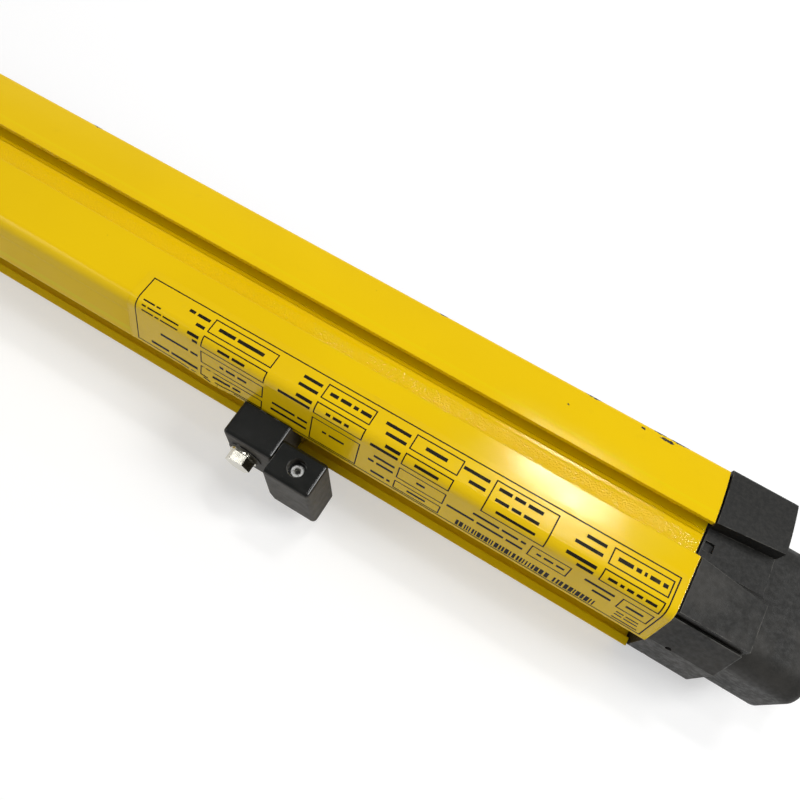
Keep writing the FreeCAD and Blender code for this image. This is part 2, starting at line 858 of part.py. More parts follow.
def make_connector():
    """Threaded barrel, seal, lock nut, insulating insert and contact pins."""
    barrel = turned("connector_shell", "x", [
        ("-(neck_wall + nut_thickness + seal_thickness)", "barrel_bore"),
        ("flange_thickness + barrel_length", "barrel_bore"),
        ("flange_thickness + barrel_length", "barrel_radius"),
        ("flange_thickness", "barrel_radius"),
        ("flange_thickness", "flange_radius"),
        ("0", "flange_radius"),
        ("0", "barrel_neck"),
        ("-(neck_wall + nut_thickness + seal_thickness)", "barrel_neck"),
    ])
    on_connector(barrel, "connector_shell", "seal_thickness")
    seal = turned("connector_seal", "x", [
        ("0", "barrel_neck + pin_clearance"), ("seal_thickness", "barrel_neck + pin_clearance"),
        ("seal_thickness", "seal_radius"), ("0", "seal_radius")])
    on_connector(seal, "connector_seal", "0")
    nut = turned("connector_nut", "x", [
        ("0", "barrel_neck + pin_clearance"), ("nut_thickness", "barrel_neck + pin_clearance"),
        ("nut_thickness", "nut_radius"), ("0", "nut_radius")])
    on_connector(nut, "connector_nut", "-(neck_wall + nut_thickness)")
    front = "seal_thickness + flange_thickness + barrel_length - insert_recess"
    insert = new_body("connector_insert")
    disc = sketch_on(insert, "x")
    circle(disc, "0", "0", "barrel_bore - insert_clearance")
    pad(insert, disc, "x", "insert_length")
    drill(insert, "x", "0", "insert_length",
          [(a, u, "pin_radius + pin_clearance") for a, u in pin_spots()])
    on_connector(insert, "connector_insert", front + " - insert_length")
    pins = []
    for index, (across, up) in enumerate(pin_spots()):
        pins.append(rod("contact_pin_%d" % index, "x", "pin_radius", "pin_length",
                        ("0", across, up)))
    on_connector(group("contact_pins", pins), "connector_pins",
                 front + " + insert_recess - 1 - pin_length")


def make_connector_wires():
    """Short leads from the control board's plug to the contact pins."""
    radius = value("wire_radius")
    gap = value("wire_end_gap")
    start_x = value(BOARD_END)
    end_x = value("%s + %s + seal_thickness + flange_thickness + barrel_length - 1 - pin_length"
                  % (BAR_END, NECK_END))
    height = value("%s + plug_height / 2" % BOARD_TOP)
    spread = value("plug_width - 2 * wire_radius - 1") / (len(pin_spots()) - 1)
    order = sorted(pin_spots(), key=lambda spot: value(spot[1]))
    wires = []
    for index, (across, up) in enumerate(order):
        start = FreeCAD.Vector(start_x, height, (index - (len(order) - 1) / 2) * spread)
        end = FreeCAD.Vector(end_x, value("connector_depth") + value(across), value(up))
        way = end - start
        unit = FreeCAD.Vector(way).normalize()
        wires.append(Part.makeCylinder(radius, way.Length - 2 * gap, start + unit * gap, way))
    bundle = fresh("Part::Feature", "connector_wires")
    bundle.Shape = Part.makeCompound(wires)
    node(bundle, "connector_wires")


# ---------------------------------------------------------------- inside

CHASSIS_BASE = CHAMBER_REAR
BOARD_SEAT = "(%s + board_seat)" % CHASSIS_BASE
BOARD_TOP = "(%s + board_thickness)" % BOARD_SEAT
MODULE_BOARD = "(%s + header_height)" % BOARD_TOP
HOLDER_BASE = "(%s + board_thickness)" % MODULE_BOARD
HOLDER_TOP = "(%s + holder_height)" % HOLDER_BASE
BEAMS = {"far": "-beam_spacing", "middle": "0", "near": "beam_spacing"}
BOARD_END = "(display_start + display_length)"


def make_chassis():
    """A plastic channel, open to the front, with two ledges for the boards."""
    outer = "(chassis_width / 2)"
    inside = "(chassis_width / 2 - chassis_wall)"
    ledge = "(chassis_width / 2 - chassis_wall - chassis_ledge)"
    top = "(%s + chassis_height)" % CHASSIS_BASE
    upper = [
        (top, inside), (top, outer), (CHASSIS_BASE, outer),
    ]
    inner = [
        (BOARD_SEAT, inside), (BOARD_SEAT, ledge),
        (CHASSIS_BASE + " + chassis_wall", ledge),
    ]
    lower_inner = [(across, "-(%s)" % up) for across, up in inner]
    corners = both_halves(upper) + lower_inner + inner[::-1]
    body = prism("optics_chassis", "x", "0", "chassis_length", corners)
    node(body, "optics_chassis", "-chassis_length / 2")


BOARD_SPANS = {
    "control_board": (BOARD_END + " - control_board_length", BOARD_END),
    "middle_board": ("-small_board_length / 2", "small_board_length / 2"),
    "far_board": ("-beam_spacing - small_board_length / 2 + board_end_gap * 2",
                  "-beam_spacing + small_board_length / 2 + board_end_gap * 2"),
}


def make_boards():
    """Three circuit boards and the ribbon cables that join them."""
    half = "board_width / 2"
    for label, span in BOARD_SPANS.items():
        block_node(label, span, (BOARD_SEAT, BOARD_TOP), ("-" + half, half))
    half = "ribbon_width / 2"
    for label, left, right in (("ribbon_cable_long", "far_board", "middle_board"),
                               ("ribbon_cable_short", "middle_board", "control_board")):
        span = ("(%s) - ribbon_lap" % BOARD_SPANS[left][1],
                "(%s) + ribbon_lap" % BOARD_SPANS[right][0])
        block_node(label, span, (BOARD_TOP, BOARD_TOP + " + ribbon_thickness"), ("-" + half, half))


def make_board_parts():
    """Two processors, three capacitors and the wire plug on the control board."""
    start = BOARD_SPANS["control_board"][0]
    half = "chip_length / 2"
    chips = []
    for index in range(2):
        low = "(%s) + chip_offset + %d * chip_pitch" % (start, index)
        chips.append(block("chip_%d" % index, (low, low + " + chip_length"),
                           (BOARD_TOP, BOARD_TOP + " + chip_height"), ("-" + half, half)))
    node(group("chip_pair", chips), "processor_chips")
    cans = []
    for index in range(3):
        middle = "(%s) + capacitor_offset + %d * capacitor_pitch" % (start, index)
        cans.append(rod("can_%d" % index, "y", "capacitor_radius", "capacitor_height",
                        (middle, BOARD_TOP, "0")))
    node(group("can_row", cans), "smoothing_capacitors")
    half = "plug_width / 2"
    block_node("wire_plug", (BOARD_END + " - plug_length", BOARD_END),
               (BOARD_TOP, BOARD_TOP + " + plug_height"), ("-" + half, half))


def make_beam(name, place_x):
    """One receiving beam: header, board, photodiode, holder and lens."""
    half_long = "header_length / 2"
    half_wide = "header_width / 2"
    block_node("board_header_" + name,
               ("%s - %s" % (place_x, half_long), "%s + %s" % (place_x, half_long)),
               (BOARD_TOP, MODULE_BOARD), ("-" + half_wide, half_wide))
    half_long = "module_length / 2"
    half_wide = "module_board_width / 2"
    block_node("receiver_board_" + name,
               ("%s - %s" % (place_x, half_long), "%s + %s" % (place_x, half_long)),
               (MODULE_BOARD, HOLDER_BASE), ("-" + half_wide, half_wide))
    half = "diode_size / 2"
    block_node("photodiode_" + name,
               ("%s - %s" % (place_x, half), "%s + %s" % (place_x, half)),
               (HOLDER_BASE, HOLDER_BASE + " + diode_height"), ("-" + half, half))
    half_long = "(module_length / 2)"
    half_wide = "(module_width / 2)"
    holder = prism("lens_holder_" + name, "y", "0", "holder_height",
                   rectangle(("-" + half_long, half_long), ("-" + half_wide, half_wide)))
    groove = holder.newObject("PartDesign::Groove", "Cone")
    section = sketch_on(holder, "z")
    outline(section, [
        ("0", "0"),
        ("cone_small_radius", "0"),
        ("lens_radius - lens_lap", "holder_height - lens_edge"),
        ("lens_radius + lens_clearance", "holder_height - lens_edge"),
        ("lens_radius + lens_clearance", "holder_height"),
        ("0", "holder_height"),
    ])
    groove.Profile = section
    groove.ReferenceAxis = (section, ["V_Axis"])
    groove.Angle = 360
    holder.Tip = groove
    node(holder, "lens_holder_" + name, place_x, HOLDER_BASE)
    lens = turned("lens_" + name, "y", [
        ("0", "0"),
        ("0", "lens_radius"),
        ("lens_edge", "lens_radius", "(lens_radius ^ 2 + lens_dome ^ 2) / (2 * lens_dome)"),
        ("lens_edge + lens_dome", "0"),
    ])
    node(lens, "lens_" + name, place_x, HOLDER_TOP + " - lens_edge")


def make_display():
    """The status display at the connector end, behind the front window."""
    end = "display_start + display_length"
    half = "(display_width / 2)"
    outer = block("display_shell", ("display_start", end),
                  (BOARD_TOP, BOARD_TOP + " + display_height"), ("-" + half, half))
    inner = block("display_hollow", ("display_start + display_wall", end + " - display_wall"),
                  (BOARD_TOP, BOARD_TOP + " + display_height"),
                  ("-%s + display_wall" % half, half + " - display_wall"))
    plug_room = block("display_plug_room", (end + " - plug_length - display_wall", end),
                      (BOARD_TOP, BOARD_TOP + " + plug_height + 1"),
                      ("-plug_width / 2 - 1", "plug_width / 2 + 1"))
    node(cut("display", outer, inner, plug_room), "display_holder")
    base = "(%s + display_height)" % BOARD_TOP
    top = "(%s + board_thickness)" % base
    block_node("display_board", ("display_start", end), (base, top), ("-" + half, half))
    low = "display_start + display_wall"
    half_digit = "digit_width / 2"
    block_node("seven_segment_display", (low, low + " + digit_length"),
               (top, top + " + digit_height"), ("-" + half_digit, half_digit))
    lamps = []
    for index in range(4):
        up = "(%d - 1.5) * lamp_pitch" % index
        lamps.append(rod("lamp_%d" % index, "y", "lamp_radius", "lamp_height",
                         (end + " - lamp_offset", top, up)))
    node(group("lamp_row", lamps), "status_lamps")


# ---------------------------------------------------------------- label

def make_label():
    """A film folded over the upper side face and the sloping rear face."""
    skin = "(label_thickness * sqrt(1 + %s ^ 2))" % REAR_SLOPE
    top = "(%s + label_thickness)" % HALF
    corners = [
        ("label_front", HALF),
        ("label_front", top),
        (rear_face(top) + " - " + skin, top),
        (rear_face("label_rear_edge") + " - " + skin, "label_rear_edge"),
        (rear_face("label_rear_edge"), "label_rear_edge"),
        ("rear_corner_depth", HALF),
    ]
    body = prism("type_label", "x", "0", "label_start - label_end", corners)
    inner = [(value("rear_corner_depth"), value(HALF))]
    outer = [(value(rear_face(top) + " - " + skin), value(top))]
    soften(body, "Fillet", "rear_bend_radius", lambda edge: at_spot(edge, inner))
    soften(body, "Fillet", "rear_bend_radius + label_thickness",
           lambda edge: at_spot(edge, outer))
    node(body, "type_label", "%s - label_start" % BAR_END)


# ---------------------------------------------------------------- bracket

BLOCK_X = "(%s - bracket_offset)" % BAR_END
BLOCK_LOW = "(%s - block_length / 2)" % BLOCK_X
BLOCK_HIGH = "(%s + block_length / 2)" % BLOCK_X
BLOCK_REAR = "-(block_gap + block_depth)"
BOLT_X = "(%s - bolt_offset)" % BLOCK_X
NUT_REAR = "(rear_slot_lip + nut_gap)"
FOOT_LOW = "(%s + foot_gap)" % BLOCK_HIGH
FOOT_HIGH = "(%s + foot_length)" % FOOT_LOW
FOOT_BOTTOM = "(-foot_bottom)"
FOOT_MIDDLE = "(%s + foot_length / 2)" % FOOT_LOW


def make_clamp_block():
    """The block pulled against the rear slot, with its tongue and the foot's trunnion."""
    body = prism("clamp_block", "x", BLOCK_LOW, "block_length",
                 rectangle((BLOCK_REAR, "-block_gap"), ("-block_bottom", "block_top")))
    rear = value(BLOCK_REAR)

    def outside(edge):
        box = edge.BoundBox
        return box.YMin < rear + TOUCH or (box.ZMin > value("block_top") - TOUCH
                                           and runs_along(edge, "y"))
    soften(body, "Fillet", "block_round", outside)
    half = "(rear_slot_mouth / 2 - tongue_gap)"
    tongue = sketch_on(body, "x", BLOCK_LOW)
    outline(tongue, rectangle(("-block_gap - wall", NUT_REAR), ("-" + half, half)))
    pad(body, tongue, "x", "block_length")
    boss = sketch_on(body, "y", BLOCK_REAR + " - boss_height")
    circle(boss, BOLT_X, "0", "boss_radius")
    pad(body, boss, "y", "boss_height + wall")
    drill(body, "y", BLOCK_REAR + " - boss_height", "block_depth + 2 * boss_radius",
          [(BOLT_X, "0", "bolt_radius + bolt_hole_gap")])
    trunnion = sketch_on(body, "x", BLOCK_HIGH + " - wall")
    circle(trunnion, "-swivel_depth", "0", "trunnion_radius")
    pad(body, trunnion, "x", "wall + trunnion_length")
    node(body, "clamp_block")


def make_slot_nut():
    """The steel nut plate behind the rear slot's lips."""
    half = "(%s - nut_side_gap)" % CAVE_HALF
    body = prism("slot_nut", "y", NUT_REAR, "slot_nut_thickness",
                 rectangle((BLOCK_LOW, BLOCK_HIGH), ("-" + half, half)))
    soften(body, "Chamfer", "nut_side_gap", lambda edge: runs_along(edge, "y"))
    drill(body, "y", NUT_REAR, "slot_nut_thickness", [(BOLT_X, "0", "bolt_radius + thread_gap")])
    node(body, "slot_nut")


HEAD_FRONT = "(%s - boss_height - washer_thickness)" % BLOCK_REAR


def make_clamp_bolt():
    """The hexagon bolt that pulls block and nut together, and its washer."""
    body = prism("clamp_bolt", "y", HEAD_FRONT + " - bolt_head", "bolt_head",
                 hexagon("bolt_flats", BOLT_X))
    shank = sketch_on(body, "y", HEAD_FRONT)
    circle(shank, BOLT_X, "0", "bolt_radius")
    pad(body, shank, "y", "%s + slot_nut_thickness - (%s)" % (NUT_REAR, HEAD_FRONT))
    node(body, "clamp_bolt")
    ring = new_body("clamp_washer")
    sketch = sketch_on(ring, "y", HEAD_FRONT)
    circle(sketch, BOLT_X, "0", "washer_radius")
    circle(sketch, BOLT_X, "0", "bolt_radius + bolt_hole_gap")
    pad(ring, sketch, "y", "washer_thickness")
    node(ring, "clamp_washer")


SET_SCREW_TOP = "(foot_top - set_screw_sink)"
SET_SCREW_TIP = "(trunnion_radius + swivel_gap)"


def make_foot():
    """The foot that is fixed to a machine and turns a little on the trunnion."""
    taper = "(%s + foot_taper_height)" % FOOT_BOTTOM
    body = prism("swivel_foot", "y", "-foot_rear", "foot_rear - foot_front", [
        (FOOT_LOW + " + foot_taper", FOOT_BOTTOM),
        (FOOT_HIGH + " + foot_draft", FOOT_BOTTOM),
        (FOOT_HIGH, "foot_top"),
        (FOOT_LOW, "foot_top"),
        (FOOT_LOW, taper),
    ])
    base = value(FOOT_BOTTOM)
    rear = value("-foot_rear")
    face = value(FOOT_LOW)

    def rear_sole(edge):
        box = edge.BoundBox
        return box.ZMax < base + TOUCH and box.YMax < rear + TOUCH
    soften(body, "Chamfer", "foot_chamfer", rear_sole)

    def outside(edge):
        box = edge.BoundBox
        upright = box.YLength < TOUCH and box.ZLength > 1 and box.XMin > face + TOUCH
        brim = box.ZMin > value("foot_top") - TOUCH and box.XMax > face + TOUCH
        return upright or brim
    soften(body, "Fillet", "foot_round", outside)
    drill(body, "z", SET_SCREW_TOP, "set_screw_sink",
          [(FOOT_MIDDLE, "-swivel_depth", "set_screw_well")])
    drill(body, "z", "0", SET_SCREW_TOP,
          [(FOOT_MIDDLE, "-swivel_depth", "set_screw_radius + thread_gap")])
    drill(body, "x", FOOT_LOW, "trunnion_length - foot_gap + thread_gap",
          [("-swivel_depth", "0", "trunnion_radius + swivel_gap")])
    drill(body, "z", FOOT_BOTTOM, "fixing_hole_length",
          [(FOOT_MIDDLE, "-swivel_depth", "fixing_hole_radius")])
    node(body, "swivel_foot")
    screw = new_body("foot_clamp_screw")
    section = sketch_on(screw, "z", SET_SCREW_TIP)
    circle(section, FOOT_MIDDLE, "-swivel_depth", "set_screw_radius")
    pad(screw, section, "z", "%s - %s" % (SET_SCREW_TOP, SET_SCREW_TIP))
    recess(screw, "z", SET_SCREW_TOP + " - set_screw_socket_depth", "set_screw_socket_depth",
           hexagon("set_screw_socket", FOOT_MIDDLE, "-swivel_depth"))
    node(screw, "foot_clamp_screw")


# ---------------------------------------------------------------- build and write

def check():
    """Stop on any failed feature or unsound sub-part."""
    doc.recompute()
    for item in doc.Objects:
        if "Invalid" in item.State or "Error" in item.State:
            raise ValueError("%s failed: %s" % (item.Label, item.State))
    for label, item in NODES.items():
        shape = item.Shape
        if shape.isNull() or not shape.isValid() or not shape.Solids:
            raise ValueError("%s has no sound solid" % label)


def write():
    """One STEP file for each sub-part."""
    os.makedirs("parts", exist_ok=True)
    for label, item in NODES.items():
        item.Shape.exportStep("parts/%s.step" % label)


make_housing()
make_window()
make_end_gasket("connector_end_gasket", False)
make_end_gasket("far_end_gasket", True)
make_cap("connector_end_cap", False)
make_cap("far_end_cap", True)
CAP_FACE = "gasket_thickness + cap_length"
CAP_SCREW = "cap_length + gasket_thickness + screw_reach"
make_screws("connector_cap_screws", PORTS, CAP_SCREW, CAP_FACE, False)
make_screws("far_cap_screws", PORTS, CAP_SCREW, CAP_FACE, True)
make_connector_housing()
make_screws("connector_housing_screws", NECK_SCREWS, "neck_length + neck_partition", NECK_END, False)
make_connector()
make_connector_wires()
make_chassis()
make_boards()
make_board_parts()
for beam, beam_x in BEAMS.items():
    make_beam(beam, beam_x)
make_display()
make_label()
make_clamp_block()
make_slot_nut()
make_clamp_bolt()
make_foot()
check()
write()
for label in NODES:
    box = NODES[label].Shape.BoundBox
    print("%-26s x %8.2f %8.2f  y %7.2f %7.2f  z %6.2f %6.2f" % (
        label, box.XMin, box.XMax, box.YMin, box.YMax, box.ZMin, box.ZMax))
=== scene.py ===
"""Looks of the safety light curtain: finishes for its CAD nodes, its type label, and the studio."""

import json
import math
import random

import bmesh
import bpy
from mathutils import Matrix, Vector, noise


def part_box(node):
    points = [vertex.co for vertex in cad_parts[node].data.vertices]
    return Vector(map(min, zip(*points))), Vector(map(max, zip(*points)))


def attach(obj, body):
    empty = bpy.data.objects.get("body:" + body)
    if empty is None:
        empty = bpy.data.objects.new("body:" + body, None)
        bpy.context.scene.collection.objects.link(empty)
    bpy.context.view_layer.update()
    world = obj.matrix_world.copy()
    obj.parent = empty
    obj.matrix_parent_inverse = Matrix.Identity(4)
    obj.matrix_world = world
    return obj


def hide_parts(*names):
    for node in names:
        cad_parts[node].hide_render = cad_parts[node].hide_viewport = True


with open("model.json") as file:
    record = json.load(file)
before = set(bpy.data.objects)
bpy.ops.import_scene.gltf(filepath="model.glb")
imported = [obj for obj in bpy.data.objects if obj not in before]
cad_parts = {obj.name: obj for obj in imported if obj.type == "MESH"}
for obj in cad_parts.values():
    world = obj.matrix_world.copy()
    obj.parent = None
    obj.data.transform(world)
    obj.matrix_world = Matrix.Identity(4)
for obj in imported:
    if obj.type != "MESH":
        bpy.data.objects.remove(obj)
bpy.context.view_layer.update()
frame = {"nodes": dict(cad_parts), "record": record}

MM = 0.001
nodes = frame["nodes"]

# places and shapes that the finishes follow, in millimetres in the row's frame
PROFILE_LOW, PROFILE_HIGH = (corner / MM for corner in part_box("housing_profile"))
LABEL_LOW, LABEL_HIGH = (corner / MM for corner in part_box("type_label"))
FOOT_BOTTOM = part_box("swivel_foot")[0].z / MM
GRUB_LOW, GRUB_HIGH = (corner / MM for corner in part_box("foot_clamp_screw"))
GRUB_MIDDLE, GRUB_RADIUS = (GRUB_LOW + GRUB_HIGH) / 2, (GRUB_HIGH.x - GRUB_LOW.x) / 2
BAR_END = PROFILE_HIGH.x
SIDE_FACE = PROFILE_HIGH.z
SLOT_FLOOR = 5.8
SLOT_MIDDLE = 13.45
CAVE_HALF = 9.0
REAR_CAVE_HALF = 12.0
BEND_RADIUS = 4.0
BEND_TURN = math.radians(74.9)
BEND_FROM_REAR = 7.71


# ------------------------------------------------------------------ finishes


class Finish:
    """One node material: a Principled shader, and short ways to make what feeds it."""

    def __init__(self, name, ior=1.5, tint=None):
        self.material = bpy.data.materials.new(name)
        self.material.use_nodes = True
        self.tree = self.material.node_tree
        self.tree.nodes.clear()
        self.shader = self.add("ShaderNodeBsdfPrincipled")
        self.output = self.add("ShaderNodeOutputMaterial")
        self.tree.links.new(self.shader.outputs[0], self.output.inputs[0])
        self.shader.inputs["IOR"].default_value = ior
        if tint:
            self.shader.inputs["Specular Tint"].default_value = (*tint, 1)

    def add(self, kind, **settings):
        made = self.tree.nodes.new(kind)
        for key, value in settings.items():
            setattr(made, key, value)
        return made

    def feed(self, socket, value):
        """A socket takes another node's output, or a plain number or colour."""
        if isinstance(value, bpy.types.NodeSocket):
            self.tree.links.new(value, socket)
        elif isinstance(value, (int, float)):
            socket.default_value = value
        else:
            values = tuple(value)
            full = len(socket.default_value)
            socket.default_value = values + (1,) * (full - len(values))

    def set(self, **values):
        for name, value in values.items():
            self.feed(self.shader.inputs[name.replace("_", " ").title()], value)

    def place(self, stretch=(1, 1, 1)):
        """The point on the piece in millimetres, from the row's origin."""
        scale = self.add("ShaderNodeVectorMath", operation="MULTIPLY")
        self.tree.links.new(self.add("ShaderNodeTexCoord").outputs["Object"], scale.inputs[0])
        scale.inputs[1].default_value = [value / MM for value in stretch]
        return scale.outputs[0]

    def axis(self, name):
        split = self.add("ShaderNodeSeparateXYZ")
        self.feed(split.inputs[0], self.place())
        return split.outputs[name]

    def math(self, operation, first, second=0.0, clamp=False):
        made = self.add("ShaderNodeMath", operation=operation, use_clamp=clamp)
        self.feed(made.inputs[0], first)
        self.feed(made.inputs[1], second)
        return made.outputs[0]

    def grain(self, size, detail=2.0, stretch=(1, 1, 1), roughness=0.5, distort=0.0):
        """Soft noise with lumps about size millimetres across."""
        made = self.add("ShaderNodeTexNoise")
        self.feed(made.inputs["Vector"], self.place(stretch))
        self.feed(made.inputs["Scale"], 1.0 / size)
        self.feed(made.inputs["Detail"], detail)
        self.feed(made.inputs["Roughness"], roughness)
        self.feed(made.inputs["Distortion"], distort)
        return made.outputs[0]

    def ridge(self, value, middle, half):
        """1 where value is at middle, falling to 0 at half on either side."""
        return self.span(self.math("ABSOLUTE", self.math("SUBTRACT", value, middle)), half, 0.0)

    def spots(self, size, radius):
        """1 inside small dots strewn about size millimetres apart, 0 elsewhere."""
        cells = self.add("ShaderNodeTexVoronoi")
        self.feed(cells.inputs["Vector"], self.place())
        self.feed(cells.inputs["Scale"], 1.0 / size)
        return self.span(cells.outputs["Distance"], radius / size, 0.6 * radius / size)

    def span(self, value, low, high, out_low=0.0, out_high=1.0):
        """Turns low to high into out_low to out_high, smoothly, and holds it beyond."""
        made = self.add("ShaderNodeMapRange", interpolation_type="SMOOTHSTEP")
        for socket, given in zip(made.inputs, (value, low, high, out_low, out_high)):
            self.feed(socket, given)
        return made.outputs[0]

    def mix(self, factor, first, second):
        made = self.add("ShaderNodeMix", data_type="RGBA")
        self.feed(made.inputs[0], factor)
        self.feed(made.inputs[6], first)
        self.feed(made.inputs[7], second)
        return made.outputs[2]

    def bump(self, height, depth, under=None):
        """Bumps depth millimetres high where height runs from 0 to 1."""
        made = self.add("ShaderNodeBump")
        self.feed(made.inputs["Height"], height)
        self.feed(made.inputs["Distance"], depth * MM)
        if under:
            self.feed(made.inputs["Normal"], under)
        return made.outputs[0]

    def rounded(self, radius):
        """The surface's direction, with corners eased to radius millimetres."""
        made = self.add("ShaderNodeBevel", samples=6)
        self.feed(made.inputs["Radius"], radius * MM)
        return made.outputs[0]

    def worn_edges(self, radius, rarity=0.35, patch=3.0):
        """1 along corners tighter than radius millimetres, in patches about patch across."""
        true_way = self.add("ShaderNodeNewGeometry").outputs["Normal"]
        meet = self.add("ShaderNodeVectorMath", operation="DOT_PRODUCT")
        self.feed(meet.inputs[0], self.rounded(radius))
        self.feed(meet.inputs[1], true_way)
        edge = self.span(meet.outputs["Value"], 0.985, 0.9)
        patches = self.span(self.grain(patch, 3), rarity + 0.1, rarity + 0.25)
        return self.math("MULTIPLY", edge, patches, clamp=True)


def plain_finish(name, colour, second, rough, grain_size, grain_depth, spread=6.0,
                 metallic=0.0, wear=None, stretch=(1, 1, 1)):
    """A finish with drifting colour, uneven gloss and fine relief, and worn edges if asked."""
    made = Finish(name)
    drift = made.span(made.grain(spread, 4, stretch), 0.35, 0.65)
    shade = made.mix(drift, colour, second)
    gloss = made.span(made.grain(spread * 0.6, 3, stretch), 0.3, 0.7, rough[0], rough[1])
    if wear:
        edge = made.worn_edges(wear["radius"])
        shade = made.mix(edge, shade, wear["colour"])
    relief = made.grain(grain_size, 3, stretch)
    made.set(base_color=shade, roughness=gloss, metallic=metallic,
             normal=made.bump(relief, grain_depth))
    return made.material


YELLOW = (0.84, 0.555, 0.0)
YELLOW_DEEP = (0.81, 0.53, 0.0)
# greener yellow painted into the slot caves and the rear slot as the colour of their shade
YELLOW_PAINTED_SHADE = (0.82, 0.60, 0.0)
WARM_SHEEN = (1.0, 0.96, 0.72)
# the cut ends' colour: bare metal, lightened to a pale yellow painted highlight
BARE_METAL_AND_HIGHLIGHT = (0.80, 0.72, 0.45)
CHIP_DARK = (0.035, 0.028, 0.02)

# chips in the paint of the upper front band: middle x, middle y, half length, half width
CHIPS = (
    (405.0, 39.2, 3.0, 0.9),
    (434.0, 39.2, 3.4, 0.9),
    (427.8, 39.0, 2.6, 0.7),
    (430.2, 37.4, 2.6, 0.6),
    (422.4, 37.3, 0.7, 0.5),
    (399.0, 31.1, 0.45, 0.4),
    (351.0, 39.2, 1.8, 0.8),
    (211.0, 39.2, 2.2, 0.8),
    (-92.0, 39.2, 3.0, 0.7),
    (-287.0, 39.0, 1.6, 0.6),
    (-301.0, 36.8, 0.8, 0.4),
)


# how far the noise shifts a chip's outline along x and y, half of it being its mean
RAGGED = (1.6, 1.2, 0.0)
# a chip reaches down over the front corner, so its height counts for little
CHIP_FLATNESS = 0.04


def chip_mask(made):
    """1 inside the chips, whose outlines are ragged."""
    ragged = made.add("ShaderNodeVectorMath", operation="MULTIPLY_ADD")
    made.feed(ragged.inputs[0], colour_noise(made, 0.7))
    made.feed(ragged.inputs[1], RAGGED)
    made.feed(ragged.inputs[2], made.place())
    total = 0.0
    for x, y, half_length, half_width in CHIPS:
        away = made.add("ShaderNodeVectorMath", operation="SUBTRACT")
        made.feed(away.inputs[0], ragged.outputs[0])
        made.feed(away.inputs[1], (x + RAGGED[0] / 2, y + RAGGED[1] / 2, SIDE_FACE))
        scaled = made.add("ShaderNodeVectorMath", operation="MULTIPLY")
        made.feed(scaled.inputs[0], away.outputs[0])
        made.feed(scaled.inputs[1], (1 / half_length, 1 / half_width, CHIP_FLATNESS))
        length = made.add("ShaderNodeVectorMath", operation="LENGTH")
        made.feed(length.inputs[0], scaled.outputs[0])
        inside = made.span(length.outputs["Value"], 1.05, 0.85)
        total = made.math("MAXIMUM", inside, total)
    return total


def colour_noise(made, size):
    """Three noises at once, one for each axis, with lumps about size millimetres across."""
    cloud = made.add("ShaderNodeTexNoise")
    made.feed(cloud.inputs["Vector"], made.place())
    made.feed(cloud.inputs["Scale"], 1.0 / size)
    return cloud.outputs["Color"]


# added roughness of the sloping rear faces, and how much smoother the slot floor is
SLOPE_DULLNESS, SLOT_WETNESS = 0.42, 0.05


